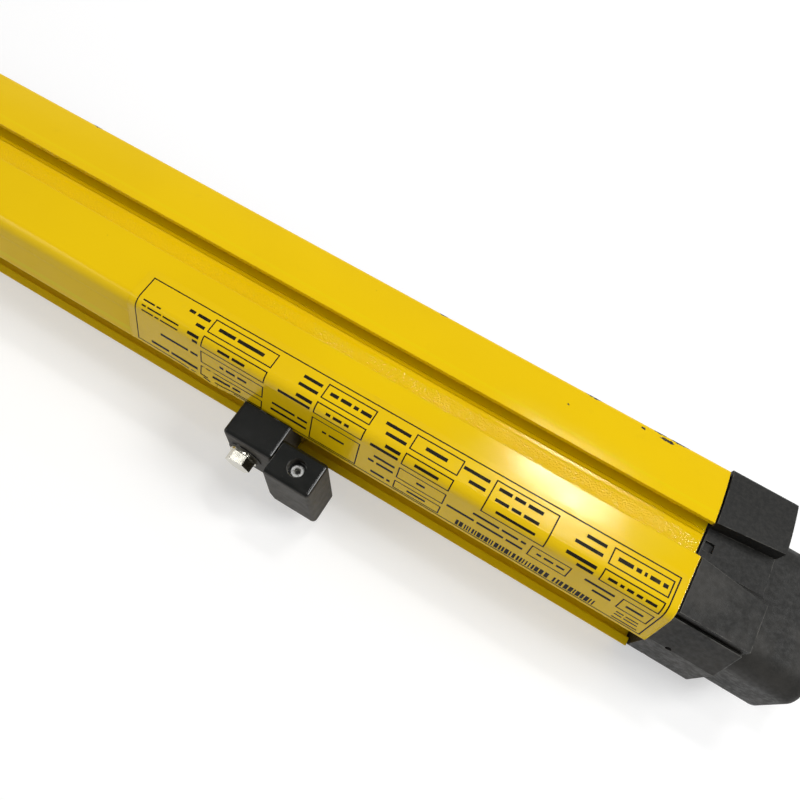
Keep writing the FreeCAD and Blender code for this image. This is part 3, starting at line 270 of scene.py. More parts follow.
def yellow_paint():
    """Glossy enamel on the extrusion: orange peel, a hammered slot floor, chips, bare ends
    lightened with a painted highlight, and painted shade in the slots.
    """
    made = Finish("yellow_paint", ior=1.38, tint=WARM_SHEEN)
    shade = made.mix(made.span(made.grain(45, 3), 0.3, 0.7), YELLOW, YELLOW_DEEP)
    off_middle = made.math("ABSOLUTE", made.math("SUBTRACT", made.axis("Z"), SIDE_FACE / 2))
    off_slot = made.math("ABSOLUTE", made.math("SUBTRACT", made.axis("Y"), SLOT_MIDDLE))
    below_face = made.span(off_middle, SIDE_FACE / 2 - 0.3, SIDE_FACE / 2 - 0.8)
    slot_walls = made.math("MULTIPLY", made.span(off_slot, CAVE_HALF + 0.5, CAVE_HALF),
                           made.span(off_slot, 4.2, 5.6))
    side_slot = made.math("MULTIPLY", below_face, slot_walls)
    behind_rear = made.span(made.axis("Y"), PROFILE_LOW.y + 0.2, PROFILE_LOW.y + 0.6)
    rear_slot = made.math("MULTIPLY", behind_rear,
                          made.span(off_middle, REAR_CAVE_HALF + 0.5, REAR_CAVE_HALF))
    # painted shade: the side slot's caves and lip walls and the rear slot take the greener yellow
    # of their shade
    shade = made.mix(made.math("MAXIMUM", side_slot, rear_slot), shade, YELLOW_PAINTED_SHADE)
    specks = made.math("MULTIPLY", made.spots(7.0, 0.16), made.span(made.grain(19), 0.52, 0.6))
    shade = made.mix(made.math("MULTIPLY", specks, 0.7), shade, (0.22, 0.12, 0.01))
    grime = made.span(made.grain(5, 5), 0.62, 0.8, 0.0, 0.08)
    shade = made.mix(grime, shade, (0.45, 0.27, 0.01))
    chips = chip_mask(made)
    shade = made.mix(chips, shade, CHIP_DARK)
    from_middle = made.math("ABSOLUTE", made.axis("X"))
    # the cut end faces: bare metal, whose colour also carries a painted highlight along the end
    bare_end_and_highlight = made.span(from_middle, BAR_END - 0.03, BAR_END - 0.01)
    shade = made.mix(bare_end_and_highlight, shade, BARE_METAL_AND_HIGHLIGHT)
    dull = made.span(made.grain(11, 4), 0.3, 0.7, 0.11, 0.15)
    scuffed = made.span(made.grain(1.4, 3, (0.1, 1, 1)), 0.62, 0.8, 0.0, 0.08)
    sloping = made.span(made.axis("Y"), PROFILE_LOW.y + 7.2, PROFILE_LOW.y + 4.5)
    slope = made.math("MULTIPLY", sloping, SLOPE_DULLNESS)
    gloss = made.math("ADD", dull, made.math("ADD", scuffed, made.math("MULTIPLY", chips, 0.3)))
    gloss = made.math("ADD", gloss, slope)
    floor_line = SIDE_FACE / 2 - SLOT_FLOOR
    in_slot = made.span(made.math("ABSOLUTE", made.math("SUBTRACT", off_middle, floor_line)),
                        0.5, 0.3)
    peel = made.bump(made.grain(1.7, 2), 0.007, made.rounded(0.45))
    beaten = made.span(made.axis("Y"), SLOT_MIDDLE + 2.2, SLOT_MIDDLE + 1.0, 0.1, 1.0)
    hammered = made.math("MULTIPLY", made.grain(0.6, 1), made.math("MULTIPLY", in_slot, beaten))
    relief = made.bump(hammered, 0.22, peel)
    gloss = made.math("SUBTRACT", gloss, made.math("MULTIPLY", in_slot, SLOT_WETNESS))
    lip_bead = made.math("MULTIPLY", made.ridge(off_middle, SIDE_FACE / 2 - 1.7, 0.28),
                         made.span(off_slot, 5.9, 5.7))
    die_lines = made.math("MULTIPLY", in_slot, made.math(
        "MAXIMUM", made.ridge(off_slot, 3.3, 0.22), made.ridge(off_slot, 4.6, 0.22)))
    relief = made.bump(made.math("MAXIMUM", lip_bead, die_lines), 0.22, relief)
    relief = made.bump(made.math("MULTIPLY", chips, -1.0), 0.06, relief)
    made.set(base_color=shade, roughness=gloss, metallic=bare_end_and_highlight, normal=relief)
    return made.material


def label_film():
    """Printed film: a shade duller than the paint, with fine creases."""
    made = Finish("label_film", ior=1.36, tint=WARM_SHEEN)
    shade = made.mix(made.span(made.grain(25, 4), 0.3, 0.7), (0.83, 0.55, 0.002),
                     (0.80, 0.52, 0.004))
    smudge = made.span(made.grain(6, 5), 0.55, 0.8, 0.0, 0.18)
    shade = made.mix(smudge, shade, (0.5, 0.33, 0.03))
    gloss = made.span(made.grain(5, 4), 0.3, 0.7, 0.14, 0.20)
    creases = made.bump(made.grain(3.2, 4), 0.03)
    relief = made.bump(made.grain(0.45, 2), 0.008, creases)
    made.set(base_color=shade, roughness=gloss, normal=relief)
    return made.material


def label_ink():
    """Black print, slightly rubbed where the film is handled."""
    made = Finish("label_ink", ior=1.28)
    rubbed = made.span(made.grain(1.6, 4), 0.5, 0.75, 0.0, 0.35)
    shade = made.mix(rubbed, (0.008, 0.006, 0.002), (0.07, 0.045, 0.006))
    made.set(base_color=shade, roughness=made.span(made.grain(3), 0.3, 0.7, 0.52, 0.62),
             normal=made.bump(made.grain(0.45, 2), 0.006))
    return made.material


def label_backing():
    """The film's pale back and cut edge, where it has come away."""
    return plain_finish("label_backing", (0.42, 0.38, 0.27), (0.5, 0.46, 0.36), (0.4, 0.6),
                        0.6, 0.02, spread=2.0)


def grey_moulding():
    """Charcoal moulding with an eroded, mottled surface, paler in patches towards the rear, and
    edges lightened as rubbed wear and painted highlight.
    """
    made = Finish("grey_moulding", ior=1.36)
    mottle = made.span(made.grain(1.1, 6, roughness=0.7), 0.38, 0.66)
    cloud = made.span(made.grain(14, 3), 0.35, 0.65)
    shade = made.mix(mottle, (0.0115, 0.0115, 0.0105), (0.0225, 0.0218, 0.0195))
    # paler in patches towards the rear
    paler_towards_rear = made.span(made.axis("Y"), 9.0, 4.0, 0.0, 0.8)
    shade = made.mix(made.math("MULTIPLY", cloud, paler_towards_rear), shade, (0.040, 0.0375, 0.033))
    # edges lightened, partly rubbed wear and partly a painted highlight along them
    edge = made.worn_edges(0.5, 0.3, 4.0)
    shade = made.mix(made.math("MULTIPLY", edge, 0.6), shade, (0.13, 0.125, 0.11))
    gloss = made.span(made.grain(1.6, 5), 0.3, 0.7, 0.5, 0.68)
    fine = made.bump(made.grain(0.34, 3), 0.045)
    relief = made.bump(made.grain(2.4, 5), 0.05, fine)
    made.set(base_color=shade, roughness=gloss, normal=relief)
    return made.material


# height of the band along the foot's bottom that is darkened as painted shade
PAINTED_SHADE_HEIGHT = 1.6


def black_enamel():
    """Black baked enamel on castings: rubbed corners lightened as worn metal and painted highlight,
    upright sides a lighter brown as raw casting and painted sheen, and a bottom band darkened as
    painted shade.
    """
    made = Finish("black_enamel", ior=1.42)
    shade = made.mix(made.span(made.grain(4, 4), 0.35, 0.65), (0.0050, 0.0056, 0.0046),
                     (0.0075, 0.0078, 0.0066))
    specks = made.math("MULTIPLY", made.spots(2.6, 0.13), made.span(made.grain(6), 0.48, 0.56))
    shade = made.mix(made.math("MULTIPLY", specks, 0.6), shade, (0.16, 0.15, 0.13))
    edge = made.worn_edges(0.35, 0.42, 5.0)
    facing = made.add("ShaderNodeSeparateXYZ")
    made.feed(facing.inputs[0], made.add("ShaderNodeTexCoord").outputs["Normal"])
    # the upright faces: raw casting, in a lighter brown that is also a painted sheen standing for
    # the pale floor they face
    upright_faces = made.span(made.math("ABSOLUTE", facing.outputs["Z"]), 0.75, 0.3)
    side_colour_and_sheen = made.mix(made.span(made.grain(1.2, 5), 0.35, 0.65), (0.030, 0.0255, 0.0175),
                    (0.041, 0.035, 0.025))
    shade = made.mix(made.math("MULTIPLY", upright_faces, 0.88), shade, side_colour_and_sheen)
    rubbed = made.math("MULTIPLY", made.span(made.grain(1.1, 5, (1, 1, 0.5)), 0.62, 0.7), upright_faces)
    shade = made.mix(made.math("MULTIPLY", rubbed, 0.5), shade, (0.010, 0.007, 0.005))
    # painted shade: a band along the bottom of the foot is darkened where shade falls on its
    # chamfer
    painted_shade_band = made.span(made.axis("Z"), FOOT_BOTTOM + PAINTED_SHADE_HEIGHT, FOOT_BOTTOM + PAINTED_SHADE_HEIGHT - 0.4)
    shade = made.mix(made.math("MULTIPLY", painted_shade_band, 0.9), shade, (0.006, 0.006, 0.0055))
    # rubbed corners: worn bare metal, lightened and made metallic, and also a painted highlight
    # along the rounded edges
    shade = made.mix(edge, shade, (0.5, 0.5, 0.48))
    gloss = made.span(made.grain(3.2, 4), 0.3, 0.7, 0.17, 0.25)
    gloss = made.math("ADD", gloss, made.math("MULTIPLY", upright_faces, 0.42))
    fine = made.bump(made.grain(0.5, 2), 0.010, made.rounded(0.3))
    relief = made.bump(made.grain(3.0, 3), 0.03, fine)
    made.set(base_color=shade, roughness=gloss, normal=relief,
             metallic=made.math("MULTIPLY", edge, 0.8))
    return made.material


def nickel_plate():
    """Bright nickel with faint brown stains."""
    made = Finish("nickel_plate")
    stain = made.span(made.grain(2.2, 5), 0.6, 0.8, 0.0, 0.15)
    shade = made.mix(stain, (0.70, 0.68, 0.59), (0.38, 0.32, 0.24))
    gloss = made.span(made.grain(1.4, 4), 0.3, 0.7, 0.13, 0.16)
    made.set(base_color=shade, roughness=gloss, metallic=1.0,
             normal=made.bump(made.grain(0.6, 2), 0.002))
    return made.material


def zinc_steel():
    """Dull zinc on steel. The set screw has a bright ring, a painted highlight, round a dark disc
    painted as the shade in its socket.
    """
    made = Finish("zinc_steel")
    shade = made.mix(made.span(made.grain(1.6, 4), 0.35, 0.65), (0.60, 0.60, 0.57),
                     (0.46, 0.45, 0.40))
    away = made.add("ShaderNodeVectorMath", operation="SUBTRACT")
    made.feed(away.inputs[0], made.place())
    made.feed(away.inputs[1], tuple(GRUB_MIDDLE))
    across = made.add("ShaderNodeVectorMath", operation="MULTIPLY")
    made.feed(across.inputs[0], away.outputs[0])
    made.feed(across.inputs[1], (1, 1, 0))
    length = made.add("ShaderNodeVectorMath", operation="LENGTH")
    made.feed(length.inputs[0], across.outputs[0])
    distance = length.outputs["Value"]
    # painted highlight: a bright ring round the set screw's axis
    painted_highlight_ring = made.ridge(distance, GRUB_RADIUS * 0.8, GRUB_RADIUS * 0.3)
    shade = made.mix(painted_highlight_ring, shade, (0.92, 0.92, 0.90))
    # painted shade: the set screw's socket is darkened where shade falls in it
    socket = made.span(distance, GRUB_RADIUS * 0.5, GRUB_RADIUS * 0.38)
    shade = made.mix(made.math("MULTIPLY", socket, 0.92), shade, (0.02, 0.02, 0.02))
    gloss = made.span(made.grain(0.96, 3), 0.3, 0.7, 0.24, 0.4)
    made.set(base_color=shade, roughness=gloss, metallic=1.0,
             normal=made.bump(made.grain(0.25, 3), 0.012))
    return made.material


def circuit_board():
    """Green solder mask over copper tracks, with tinned pads on a grid."""
    made = Finish("circuit_board")
    cells = made.add("ShaderNodeTexVoronoi", distance="CHEBYCHEV")
    made.feed(cells.inputs["Vector"], made.place())
    made.feed(cells.inputs["Scale"], 1 / 2.4)
    made.feed(cells.inputs["Randomness"], 0.85)
    tracks = made.span(made.grain(3.0, 0, distort=1.5), 0.49, 0.51)
    pads = made.span(cells.outputs["Distance"], 0.17, 0.14)
    shade = made.mix(tracks, (0.006, 0.075, 0.022), (0.012, 0.125, 0.04))
    shade = made.mix(pads, shade, (0.62, 0.60, 0.54))
    made.set(base_color=shade, metallic=made.math("MULTIPLY", pads, 0.9),
             roughness=made.span(pads, 0, 1, 0.32, 0.25),
             normal=made.bump(made.math("ADD", pads, tracks), 0.03))
    return made.material


def front_pane():
    """Dark red acrylic window: polished, faintly scratched and dusty."""
    made = Finish("front_pane", ior=1.49)
    dust = made.span(made.grain(3.0, 6), 0.5, 0.8, 0.0, 1.0)
    shade = made.mix(made.math("MULTIPLY", dust, 0.12), (0.20, 0.006, 0.012), (0.4, 0.2, 0.18))
    scratches = made.span(made.grain(0.35, 5, (0.03, 1, 1)), 0.62, 0.75, 0.0, 0.1)
    gloss = made.math("ADD", scratches, made.span(dust, 0, 1, 0.03, 0.09))
    made.set(base_color=shade, roughness=gloss, transmission_weight=0.88,
             normal=made.bump(made.grain(30, 2), 0.02))
    return made.material


def clear_lens():
    """Clear moulded plastic with a slight haze."""
    made = Finish("lens_plastic", ior=1.49)
    made.set(base_color=(0.9, 0.92, 0.93), transmission_weight=0.9,
             roughness=made.span(made.grain(2, 3), 0.3, 0.7, 0.03, 0.08),
             normal=made.bump(made.grain(5, 2), 0.01))
    return made.material


RUBBED_EDGE = {"radius": 0.25, "colour": (0.12, 0.12, 0.12)}

FINISHES = {
    "yellow_paint": yellow_paint(),
    "label_film": label_film(),
    "grey_moulding": grey_moulding(),
    "black_enamel": black_enamel(),
    "nickel_plate": nickel_plate(),
    "circuit_board": circuit_board(),
    "front_pane": front_pane(),
    "lens_plastic": clear_lens(),
    "black_rubber": plain_finish("black_rubber", (0.016, 0.016, 0.016), (0.028, 0.027, 0.026),
                                 (0.6, 0.8), 0.5, 0.03),
    "zinc_steel": zinc_steel(),
    "black_plastic": plain_finish("black_plastic", (0.014, 0.014, 0.015), (0.022, 0.022, 0.022),
                                  (0.42, 0.58), 0.4, 0.03, wear=RUBBED_EDGE),
    "gold_brass": plain_finish("gold_brass", (0.80, 0.56, 0.20), (0.68, 0.45, 0.15), (0.16, 0.3),
                               0.3, 0.006, spread=1.5, metallic=1.0),
    "wire_cover": plain_finish("wire_cover", (0.24, 0.25, 0.27), (0.30, 0.30, 0.31), (0.34, 0.46),
                               0.8, 0.02),
    "ribbon_cover": plain_finish("ribbon_cover", (0.42, 0.42, 0.43), (0.36, 0.36, 0.38),
                                 (0.36, 0.5), 1.2, 0.12, stretch=(0.02, 1, 1)),
    "chip_case": plain_finish("chip_case", (0.012, 0.012, 0.012), (0.02, 0.02, 0.02), (0.4, 0.55),
                              0.25, 0.02),
    "can_metal": plain_finish("can_metal", (0.72, 0.72, 0.73), (0.62, 0.62, 0.64), (0.2, 0.34),
                              0.4, 0.01, metallic=1.0),
    "plug_plastic": plain_finish("plug_plastic", (0.62, 0.59, 0.49), (0.55, 0.52, 0.42),
                                 (0.38, 0.5), 0.6, 0.02),
    "display_face": plain_finish("display_face", (0.03, 0.012, 0.012), (0.045, 0.02, 0.018),
                                 (0.08, 0.16), 2.0, 0.01),
    "lamp_lens": plain_finish("lamp_lens", (0.62, 0.24, 0.03), (0.55, 0.2, 0.02), (0.1, 0.2),
                              1.0, 0.01),
    "diode_case": plain_finish("diode_case", (0.02, 0.012, 0.025), (0.03, 0.02, 0.035),
                               (0.1, 0.2), 1.0, 0.01),
}

for part in frame["record"]["subparts"]:
    for place in nodes[part["node"]].material_slots:
        place.material = FINISHES[part["material_slot"]]


# --------------------------------------------------------------------- label

# The film is measured flat: u runs along the bar, 0 at the profile's cut end and falling
# away from it, and v runs from the film's front edge over the bend towards the rear.
FLAT_ABOVE = LABEL_HIGH.y - (PROFILE_LOW.y + BEND_FROM_REAR)
FILM_THICKNESS = 0.12
FILM_RADIUS = BEND_RADIUS + FILM_THICKNESS
BEND_END = FLAT_ABOVE + FILM_RADIUS * BEND_TURN
FILM_START = LABEL_LOW.x - BAR_END
FILM_END = LABEL_HIGH.x - BAR_END
BEND_LOW = SIDE_FACE - BEND_RADIUS + FILM_RADIUS * math.cos(BEND_TURN)
FILM_WIDTH = BEND_END + (BEND_LOW - LABEL_LOW.z) / math.sin(BEND_TURN)
CORNER_ROUND = 2.0

# the print sits slightly askew: its slope along u, and how far down v that has died away
SKEW, SKEW_DEPTH = 0.0055, 22

# where the film's rear edge has come away: its middle, its reach to each side, the v it starts
# from, and the most it stands up
LIFT_MIDDLE, LIFT_LEFT, LIFT_RIGHT, LIFT_FROM, LIFT_MOST = -150.5, 15.0, 5.0, 22.6, 0.95

# bottom and top of the film and of its print, above the paint
FILM_LAYER, PRINT_LAYER = (0.01, 0.10), (0.101, 0.114)

# longest mesh steps: down the label, along a mark, along a ruled line; and the film's columns
ROW_STEP, MARK_STEP, RULE_STEP = 0.5, 3.0, 6.0
FILM_COLUMNS = 150
SHARP_ANGLE = math.radians(40)


def lifted(u, v):
    """How far the film has come away from the paint, in millimetres."""
    half = LIFT_LEFT if u < LIFT_MIDDLE else LIFT_RIGHT
    along = math.exp(-((u - LIFT_MIDDLE) / half) ** 2)
    down = max(0.0, min(1.0, (v - LIFT_FROM) / (FILM_WIDTH - LIFT_FROM)))
    ripple = 0.75 + 0.5 * noise.noise(Vector((u * 0.45, v * 0.3, 3.1)))
    creases = 0.006 * noise.noise(Vector((u * 0.35, v * 0.5, 9.4)))
    return LIFT_MOST * along * down ** 1.5 * ripple + max(0.0, creases)


def on_label(u, v, height):
    """The row-frame place, in metres, of a flat film point height millimetres off the paint."""
    height += lifted(u, v)
    bend_y = PROFILE_LOW.y + BEND_FROM_REAR
    bend_z = SIDE_FACE - BEND_RADIUS
    if v <= FLAT_ABOVE:
        y, z = LABEL_HIGH.y - v, SIDE_FACE + height
    else:
        turn = min((v - FLAT_ABOVE) / FILM_RADIUS, BEND_TURN)
        beyond = max(v - BEND_END, 0.0)
        reach = BEND_RADIUS + height
        y = bend_y - reach * math.sin(turn) - beyond * math.cos(turn)
        z = bend_z + reach * math.cos(turn) - beyond * math.sin(turn)
    return Vector((BAR_END + u, y, z)) * MM


def steps(low, high, longest):
    count = max(1, math.ceil((high - low) / longest))
    return [low + (high - low) * i / count for i in range(count + 1)]


def add_slab(mesh, across, rows, low, high, side_material=0):
    """Adds a closed slab over the label. across(v) gives the u values of the row at v."""
    layers = []
    for height in (high, low):
        layers.append([[mesh.verts.new(on_label(u, v, height)) for u in across(v)] for v in rows])
    top, bottom = layers
    last_row, last = len(rows) - 1, len(top[0]) - 1
    for i in range(last_row):
        for j in range(last):
            mesh.faces.new((top[i][j], top[i + 1][j], top[i + 1][j + 1], top[i][j + 1]))
            under = mesh.faces.new((bottom[i][j], bottom[i][j + 1], bottom[i + 1][j + 1],
                                    bottom[i + 1][j]))
            under.material_index = side_material
    for i in range(last_row):
        for j, flip in ((0, False), (last, True)):
            ring = [top[i][j], bottom[i][j], bottom[i + 1][j], top[i + 1][j]]
            side = mesh.faces.new(ring[::-1] if flip else ring)
            side.material_index = side_material
    for j in range(last):
        for i, flip in ((0, True), (last_row, False)):
            ring = [top[i][j], bottom[i][j], bottom[i][j + 1], top[i][j + 1]]
            side = mesh.faces.new(ring[::-1] if flip else ring)
            side.material_index = side_material


def finish_piece(name, mesh, materials, smooth=True):
    data = bpy.data.meshes.new(name)
    bmesh.ops.recalc_face_normals(mesh, faces=mesh.faces)
    mesh.to_mesh(data)
    mesh.free()
    piece = bpy.data.objects.new(name, data)
    bpy.context.scene.collection.objects.link(piece)
    for material in materials:
        data.materials.append(material)
    if smooth:
        data.shade_smooth()
        data.set_sharp_from_angle(angle=SHARP_ANGLE)
    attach(piece, "curtain")
    return piece


def film_row(v):
    """The u values of one row of the film, drawn in at its rounded corners."""
    near = min(v, FILM_WIDTH - v)
    drawn = 0.0
    if near < CORNER_ROUND:
        drawn = CORNER_ROUND - math.sqrt(max(0.0, CORNER_ROUND ** 2 - (CORNER_ROUND - near) ** 2))
    low, high = FILM_START + drawn, FILM_END - drawn
    return steps(low, high, (high - low) / FILM_COLUMNS)


def make_film():
    edge_rows = [CORNER_ROUND * f for f in (0, 0.04, 0.13, 0.28, 0.5, 0.75)]
    rows = edge_rows + steps(CORNER_ROUND, FILM_WIDTH - CORNER_ROUND, ROW_STEP)
    rows += [FILM_WIDTH - v for v in reversed(edge_rows)]
    mesh = bmesh.new()
    add_slab(mesh, film_row, rows, *FILM_LAYER, side_material=1)
    film = finish_piece("label_film", mesh, (FINISHES["label_film"], label_backing()))
    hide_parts("type_label")


# line width of the frames, and where the label's rows and columns start and end
LINE = 0.42
ROW_ONE, ROW_TWO, ROW_THREE, ROW_FOUR = (3.4, 8.8), (10.2, 14.6), (16.5, 22.3), (23.9, 28.1)
TALL_TOP, TALL_BOTTOM = (3.4, 14.7), (16.6, 28.1)
COLUMN_ONE, COLUMN_TWO, COLUMN_THREE = (-157.4, -134.0), (-116.4, -99.3), (-85.9, -69.8)
COLUMN_FOUR, COLUMN_FOUR_SMALL = (-59.4, -39.0), (-41.8, -29.0)
COLUMN_FIVE, COLUMN_FIVE_SMALL = (-22.0, -3.5), (-13.2, -3.5)

# the fields' frames: the column each is in, then its row
FRAMES = (
    [(COLUMN_ONE, row) for row in (ROW_ONE, ROW_TWO, ROW_THREE, ROW_FOUR)]
    + [(COLUMN_TWO, row) for row in (ROW_ONE, ROW_TWO, TALL_BOTTOM)]
    + [(COLUMN_THREE, row) for row in (ROW_ONE, ROW_TWO, ROW_THREE, ROW_FOUR)]
    + [(COLUMN_FOUR, TALL_TOP), (COLUMN_FOUR_SMALL, ROW_THREE)]
    + [(COLUMN_FIVE, ROW_ONE), (COLUMN_FIVE, ROW_TWO), (COLUMN_FIVE_SMALL, ROW_THREE)]
)

# bars that stand for words: where the line ends, how far down it is, and each bar's length
CAPTIONS = (
    (-158.5, 5.2, (2.2, 4.6)), (-158.5, 8.3, (3.2,)),
    (-158.6, 12.0, (4.2,)), (-158.6, 13.9, (2.0,)),
    (-158.5, 20.2, (10.6, 2.8)), (-158.5, 26.5, (7.0, 10.4)),
    (-117.6, 5.3, (6.6,)), (-117.6, 8.2, (6.7,)),
    (-117.6, 11.7, (5.6,)), (-117.6, 13.8, (11.4,)),
    (-117.6, 21.6, (8.4, 3.6)), (-117.6, 24.8, (13.2,)),
    (-87.1, 5.2, (8.4,)), (-87.1, 8.1, (6.9,)),
    (-87.1, 11.7, (5.1,)), (-87.1, 13.7, (9.4,)),
    (-87.1, 18.2, (7.2,)), (-87.1, 21.2, (2.0, 5.8)), (-87.1, 26.4, (4.8, 1.2)),
    (-60.8, 5.2, (8.6,)), (-60.8, 8.2, (5.4,)),
    (-43.4, 17.8, (8.6, 5.3, 1.6)), (-43.4, 21.2, (9.2, 8.8, 5.4)),
    (-23.9, 4.6, (6.2,)), (-23.9, 7.5, (8.6,)),
    (-23.9, 11.6, (9.4,)), (-23.9, 13.6, (5.2,)),
    (-15.2, 17.9, (9.4,)), (-15.2, 20.9, (5.8,)),
)
CAPTION_HEIGHT, WORD_GAP = 1.1, 0.9

# bars for the values inside the frames: left end, how far down, height, each bar's length
VALUES = (
    (-154.6, 6.1, 1.25, (6.0, 9.6)), (-151.4, 12.4, 0.95, (4.4, 4.6)),
    (-150.2, 19.4, 1.1, (1.5, 3.4, 3.4)), (-152.6, 26.0, 0.95, (6.6, 3.0)),
    (-114.4, 6.1, 1.2, (2.8, 3.6, 1.6, 3.6)), (-112.4, 12.4, 0.95, (1.6, 3.0, 1.6)),
    (-112.2, 21.4, 1.0, (1.5, 5.4)),
    (-81.6, 6.1, 1.2, (7.2,)), (-82.0, 12.4, 1.0, (8.0,)), (-79.4, 19.4, 1.1, (2.9,)),
    (-81.2, 26.0, 0.95, (6.4,)),
    (-57.6, 5.6, 1.15, (4.2, 3.4, 4.8)), (-57.2, 9.0, 1.05, (4.4, 3.0, 4.8)),
    (-55.4, 12.2, 0.85, (12.6,)), (-39.4, 19.4, 1.0, (1.5, 3.0, 2.6)),
    (-19.8, 6.0, 1.25, (4.6, 1.6, 0.8, 3.0, 1.5)), (-19.9, 12.4, 0.9, (2.8, 1.2, 2.0, 1.8, 3.4)),
    (-11.1, 19.4, 1.05, (5.4,)),
)

# small print: left end, how far down, each bar's length
SMALL_PRINT = (
    (-180.4, 9.9, (4.3, 1.6)), (-180.2, 11.7, (1.6, 5.2, 6.0)), (-179.8, 13.4, (4.4, 1.5, 6.6)),
    (-11.9, 24.2, (2.4, 4.0)), (-11.9, 25.7, (2.4, 4.3)), (-11.9, 27.6, (8.0,)),
)
SMALL_HEIGHT, SMALL_GAP = 0.55, 0.6

# the outer frame and the bar code: left, right, top, bottom; and the gaps in the bar code
BORDER = (-182.4, -2.3, 1.5, 28.9)
STRIPES = (-64.0, -17.9, 25.3, 28.1)
STRIPE_GAPS = ((-50.6, -49.4), (-33.2, -32.0))
STRIPE_WIDTHS, STRIPE_SPACES, STRIPE_SEED = (0.45, 0.65, 0.9, 1.2), (0.34, 0.34, 0.55), 7


def make_print():
    mesh = bmesh.new()

    def skewed(u, v):
        return v - SKEW * u * max(0.0, 1 - v / SKEW_DEPTH)

    def mark(u_low, u_high, v_low, v_high):
        middle = (u_low + u_high) / 2
        start, end = skewed(middle, v_low), skewed(middle, v_high)
        rows = steps(start, end, ROW_STEP)
        add_slab(mesh, lambda v: steps(u_low, u_high, MARK_STEP), rows, *PRINT_LAYER)

    def ruled_line(u_low, u_high, v):
        ends = steps(u_low, u_high, RULE_STEP)
        for start, end in zip(ends, ends[1:]):
            mark(start, end, v, v + LINE)

    def box(u_low, u_high, v_low, v_high):
        for v in (v_low, v_high - LINE):
            ruled_line(u_low, u_high, v)
        for u in (u_low, u_high - LINE):
            mark(u, u + LINE, v_low + LINE, v_high - LINE)

    def words(left, v, height, gap, lengths):
        for length in lengths:
            mark(left, left + length, v - height / 2, v + height / 2)
            left += length + gap

    box(*BORDER)
    for column, row in FRAMES:
        box(*column, *row)
    for right, v, lengths in CAPTIONS:
        left = right - sum(lengths) - WORD_GAP * (len(lengths) - 1)
        words(left, v, CAPTION_HEIGHT, WORD_GAP, lengths)
    for left, v, height, lengths in VALUES:
        words(left, v, height, WORD_GAP, lengths)
    for left, v, lengths in SMALL_PRINT:
        words(left, v, SMALL_HEIGHT, SMALL_GAP, lengths)
    widths = random.Random(STRIPE_SEED)
    left, right, top, bottom = STRIPES
    while left < right:
        width = widths.choice(STRIPE_WIDTHS)
        if not any(low < left < high for low, high in STRIPE_GAPS):
            mark(left, left + width, top, bottom)
        left += width + widths.choice(STRIPE_SPACES)
    finish_piece("label_print", mesh, (label_ink(),), smooth=False)


make_film()
make_print()


# -------------------------------------------------------------------- studio


# the photo's camera: lens and sensor in millimetres, its place, and its right and up directions
LENS, SENSOR, CLIP_START = 33.64, 36, 0.01
CAMERA_PLACE = (0.38978, -0.07905, 0.25596)
CAMERA_RIGHT = Vector((0.85763, 0.51057, 0.06158))
CAMERA_UP = Vector((-0.49018, 0.77536, 0.39816))


def make_camera():
    lens = bpy.data.cameras.new("camera")
    lens.lens = LENS
    lens.sensor_width = SENSOR
    lens.clip_start = CLIP_START
    camera = bpy.data.objects.new("camera", lens)
    turned = Matrix((CAMERA_RIGHT, CAMERA_UP, CAMERA_RIGHT.cross(CAMERA_UP))).transposed()
    camera.matrix_world = Matrix.Translation(CAMERA_PLACE) @ turned.to_4x4()
    bpy.context.scene.collection.objects.link(camera)
    bpy.context.scene.camera = camera


def pale_to_the_eye(made):
    """1 for rays that show the background, seen directly, mirrored or through a pane."""
    path = made.add("ShaderNodeLightPath")
    seen = made.math("MAXIMUM", path.outputs["Is Camera Ray"], path.outputs["Is Glossy Ray"])
    return made.math("MAXIMUM", seen, path.outputs["Is Transmission Ray"])


# the floor's grey share takes light and shadow, and the rest is its own white, a little over
FLOOR_SHARE, FLOOR_OVER, FLOOR_HALF = 0.6, 0.05, 6.0


def make_floor():
    """A wide pale floor. Most of its white is its own, and its grey share keeps the shadow."""
    data = bpy.data.meshes.new("floor")
    corners = [(x * FLOOR_HALF, y * FLOOR_HALF, 0) for x, y in ((-1, -1), (1, -1), (1, 1), (-1, 1))]
    data.from_pydata(corners, [], [(0, 1, 2, 3)])
    floor = bpy.data.objects.new("floor", data)
    bpy.context.scene.collection.objects.link(floor)
    made = Finish("floor")
    glow = made.math("MULTIPLY", pale_to_the_eye(made), 1 - FLOOR_SHARE + FLOOR_OVER)
    made.set(base_color=(FLOOR_SHARE,) * 3, roughness=1.0, emission_color=(1, 1, 1),
             emission_strength=glow)
    made.shader.inputs["Specular IOR Level"].default_value = 0.0
    data.materials.append(made.material)


# the sky fades between two heights, from one strength to the other
SKY_FADE = (0.05, 0.5, 0.92, 0.34)


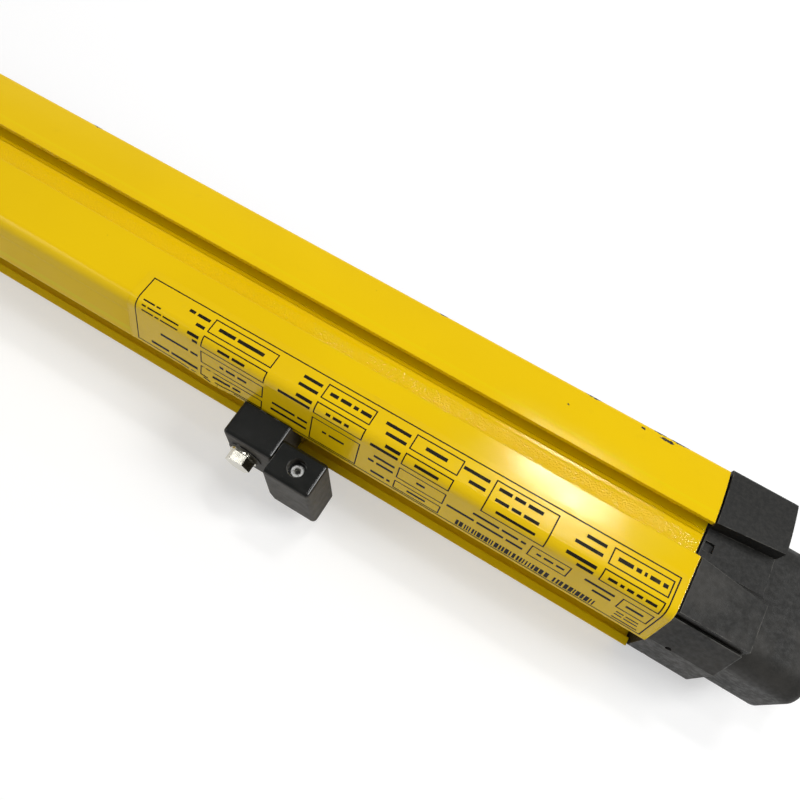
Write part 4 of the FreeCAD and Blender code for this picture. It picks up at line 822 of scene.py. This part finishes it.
def make_world():
    """A plain pale sky, white at the horizon and dimmer overhead."""
    world = bpy.data.worlds.new("studio")
    world.use_nodes = True
    bpy.context.scene.world = world
    tree = world.node_tree
    tree.nodes.clear()
    place = tree.nodes.new("ShaderNodeTexCoord")
    split = tree.nodes.new("ShaderNodeSeparateXYZ")
    fade = tree.nodes.new("ShaderNodeMapRange")
    fade.interpolation_type = "SMOOTHSTEP"
    light = tree.nodes.new("ShaderNodeBackground")
    output = tree.nodes.new("ShaderNodeOutputWorld")
    tree.links.new(place.outputs["Generated"], split.inputs[0])
    tree.links.new(split.outputs["Z"], fade.inputs["Value"])
    for socket, value in zip(fade.inputs[1:5], SKY_FADE):
        socket.default_value = value
    tree.links.new(fade.outputs[0], light.inputs["Strength"])
    tree.links.new(light.outputs[0], output.inputs[0])


# name, place, what it points at, size in metres, power in watts. The two soft ones light the
# whole bar, and each of the rest makes one highlight: on the side face, the front band, the slot
# floor, the bend and the bolt.
LAMPS = (
    ("soft_right", (2.6, 0.65, 2.2), (0.25, 0, 0.02), (1.2, 1.2), 66),
    ("soft_left", (-2.0, -1.0, 2.4), (0.25, 0, 0.02), (1.4, 1.4), 14),
    ("ceiling_lamp", (0.50, 0.42, 1.065), (0.41, 0.0, 0.05), (0.18, 0.022), 1.2),
    ("band_lamp", (0.485, 0.85, 0.915), (0.405, 0.02, 0.052), (0.20, 0.03), 0.3),
    ("slot_lamp", (0.50, 0.465, 1.065), (0.41, 0.013, 0.046), (0.22, 0.03), 0.6),
    ("bend_lamp", (0.48, 0.16, 1.05), (0.409, -0.009, 0.052), (0.17, 0.03), 0.6),
    ("bolt_lamp", (-0.067, 0.225, 1.245), (0.318, -0.031, 0.03), (0.04, 0.04), 0.035),
)


def add_lamp(name, place, towards, size, power):
    light = bpy.data.lights.new(name, "AREA")
    light.shape = "RECTANGLE"
    light.size, light.size_y = size
    light.energy = power
    lamp = bpy.data.objects.new(name, light)
    lamp.location = place
    lamp.rotation_euler = (Vector(towards) - Vector(place)).to_track_quat("-Z", "Y").to_euler()
    bpy.context.scene.collection.objects.link(lamp)


make_camera()
make_floor()
make_world()
for lamp in LAMPS:
    add_lamp(*lamp)
bpy.context.scene.view_settings.view_transform = "Standard"
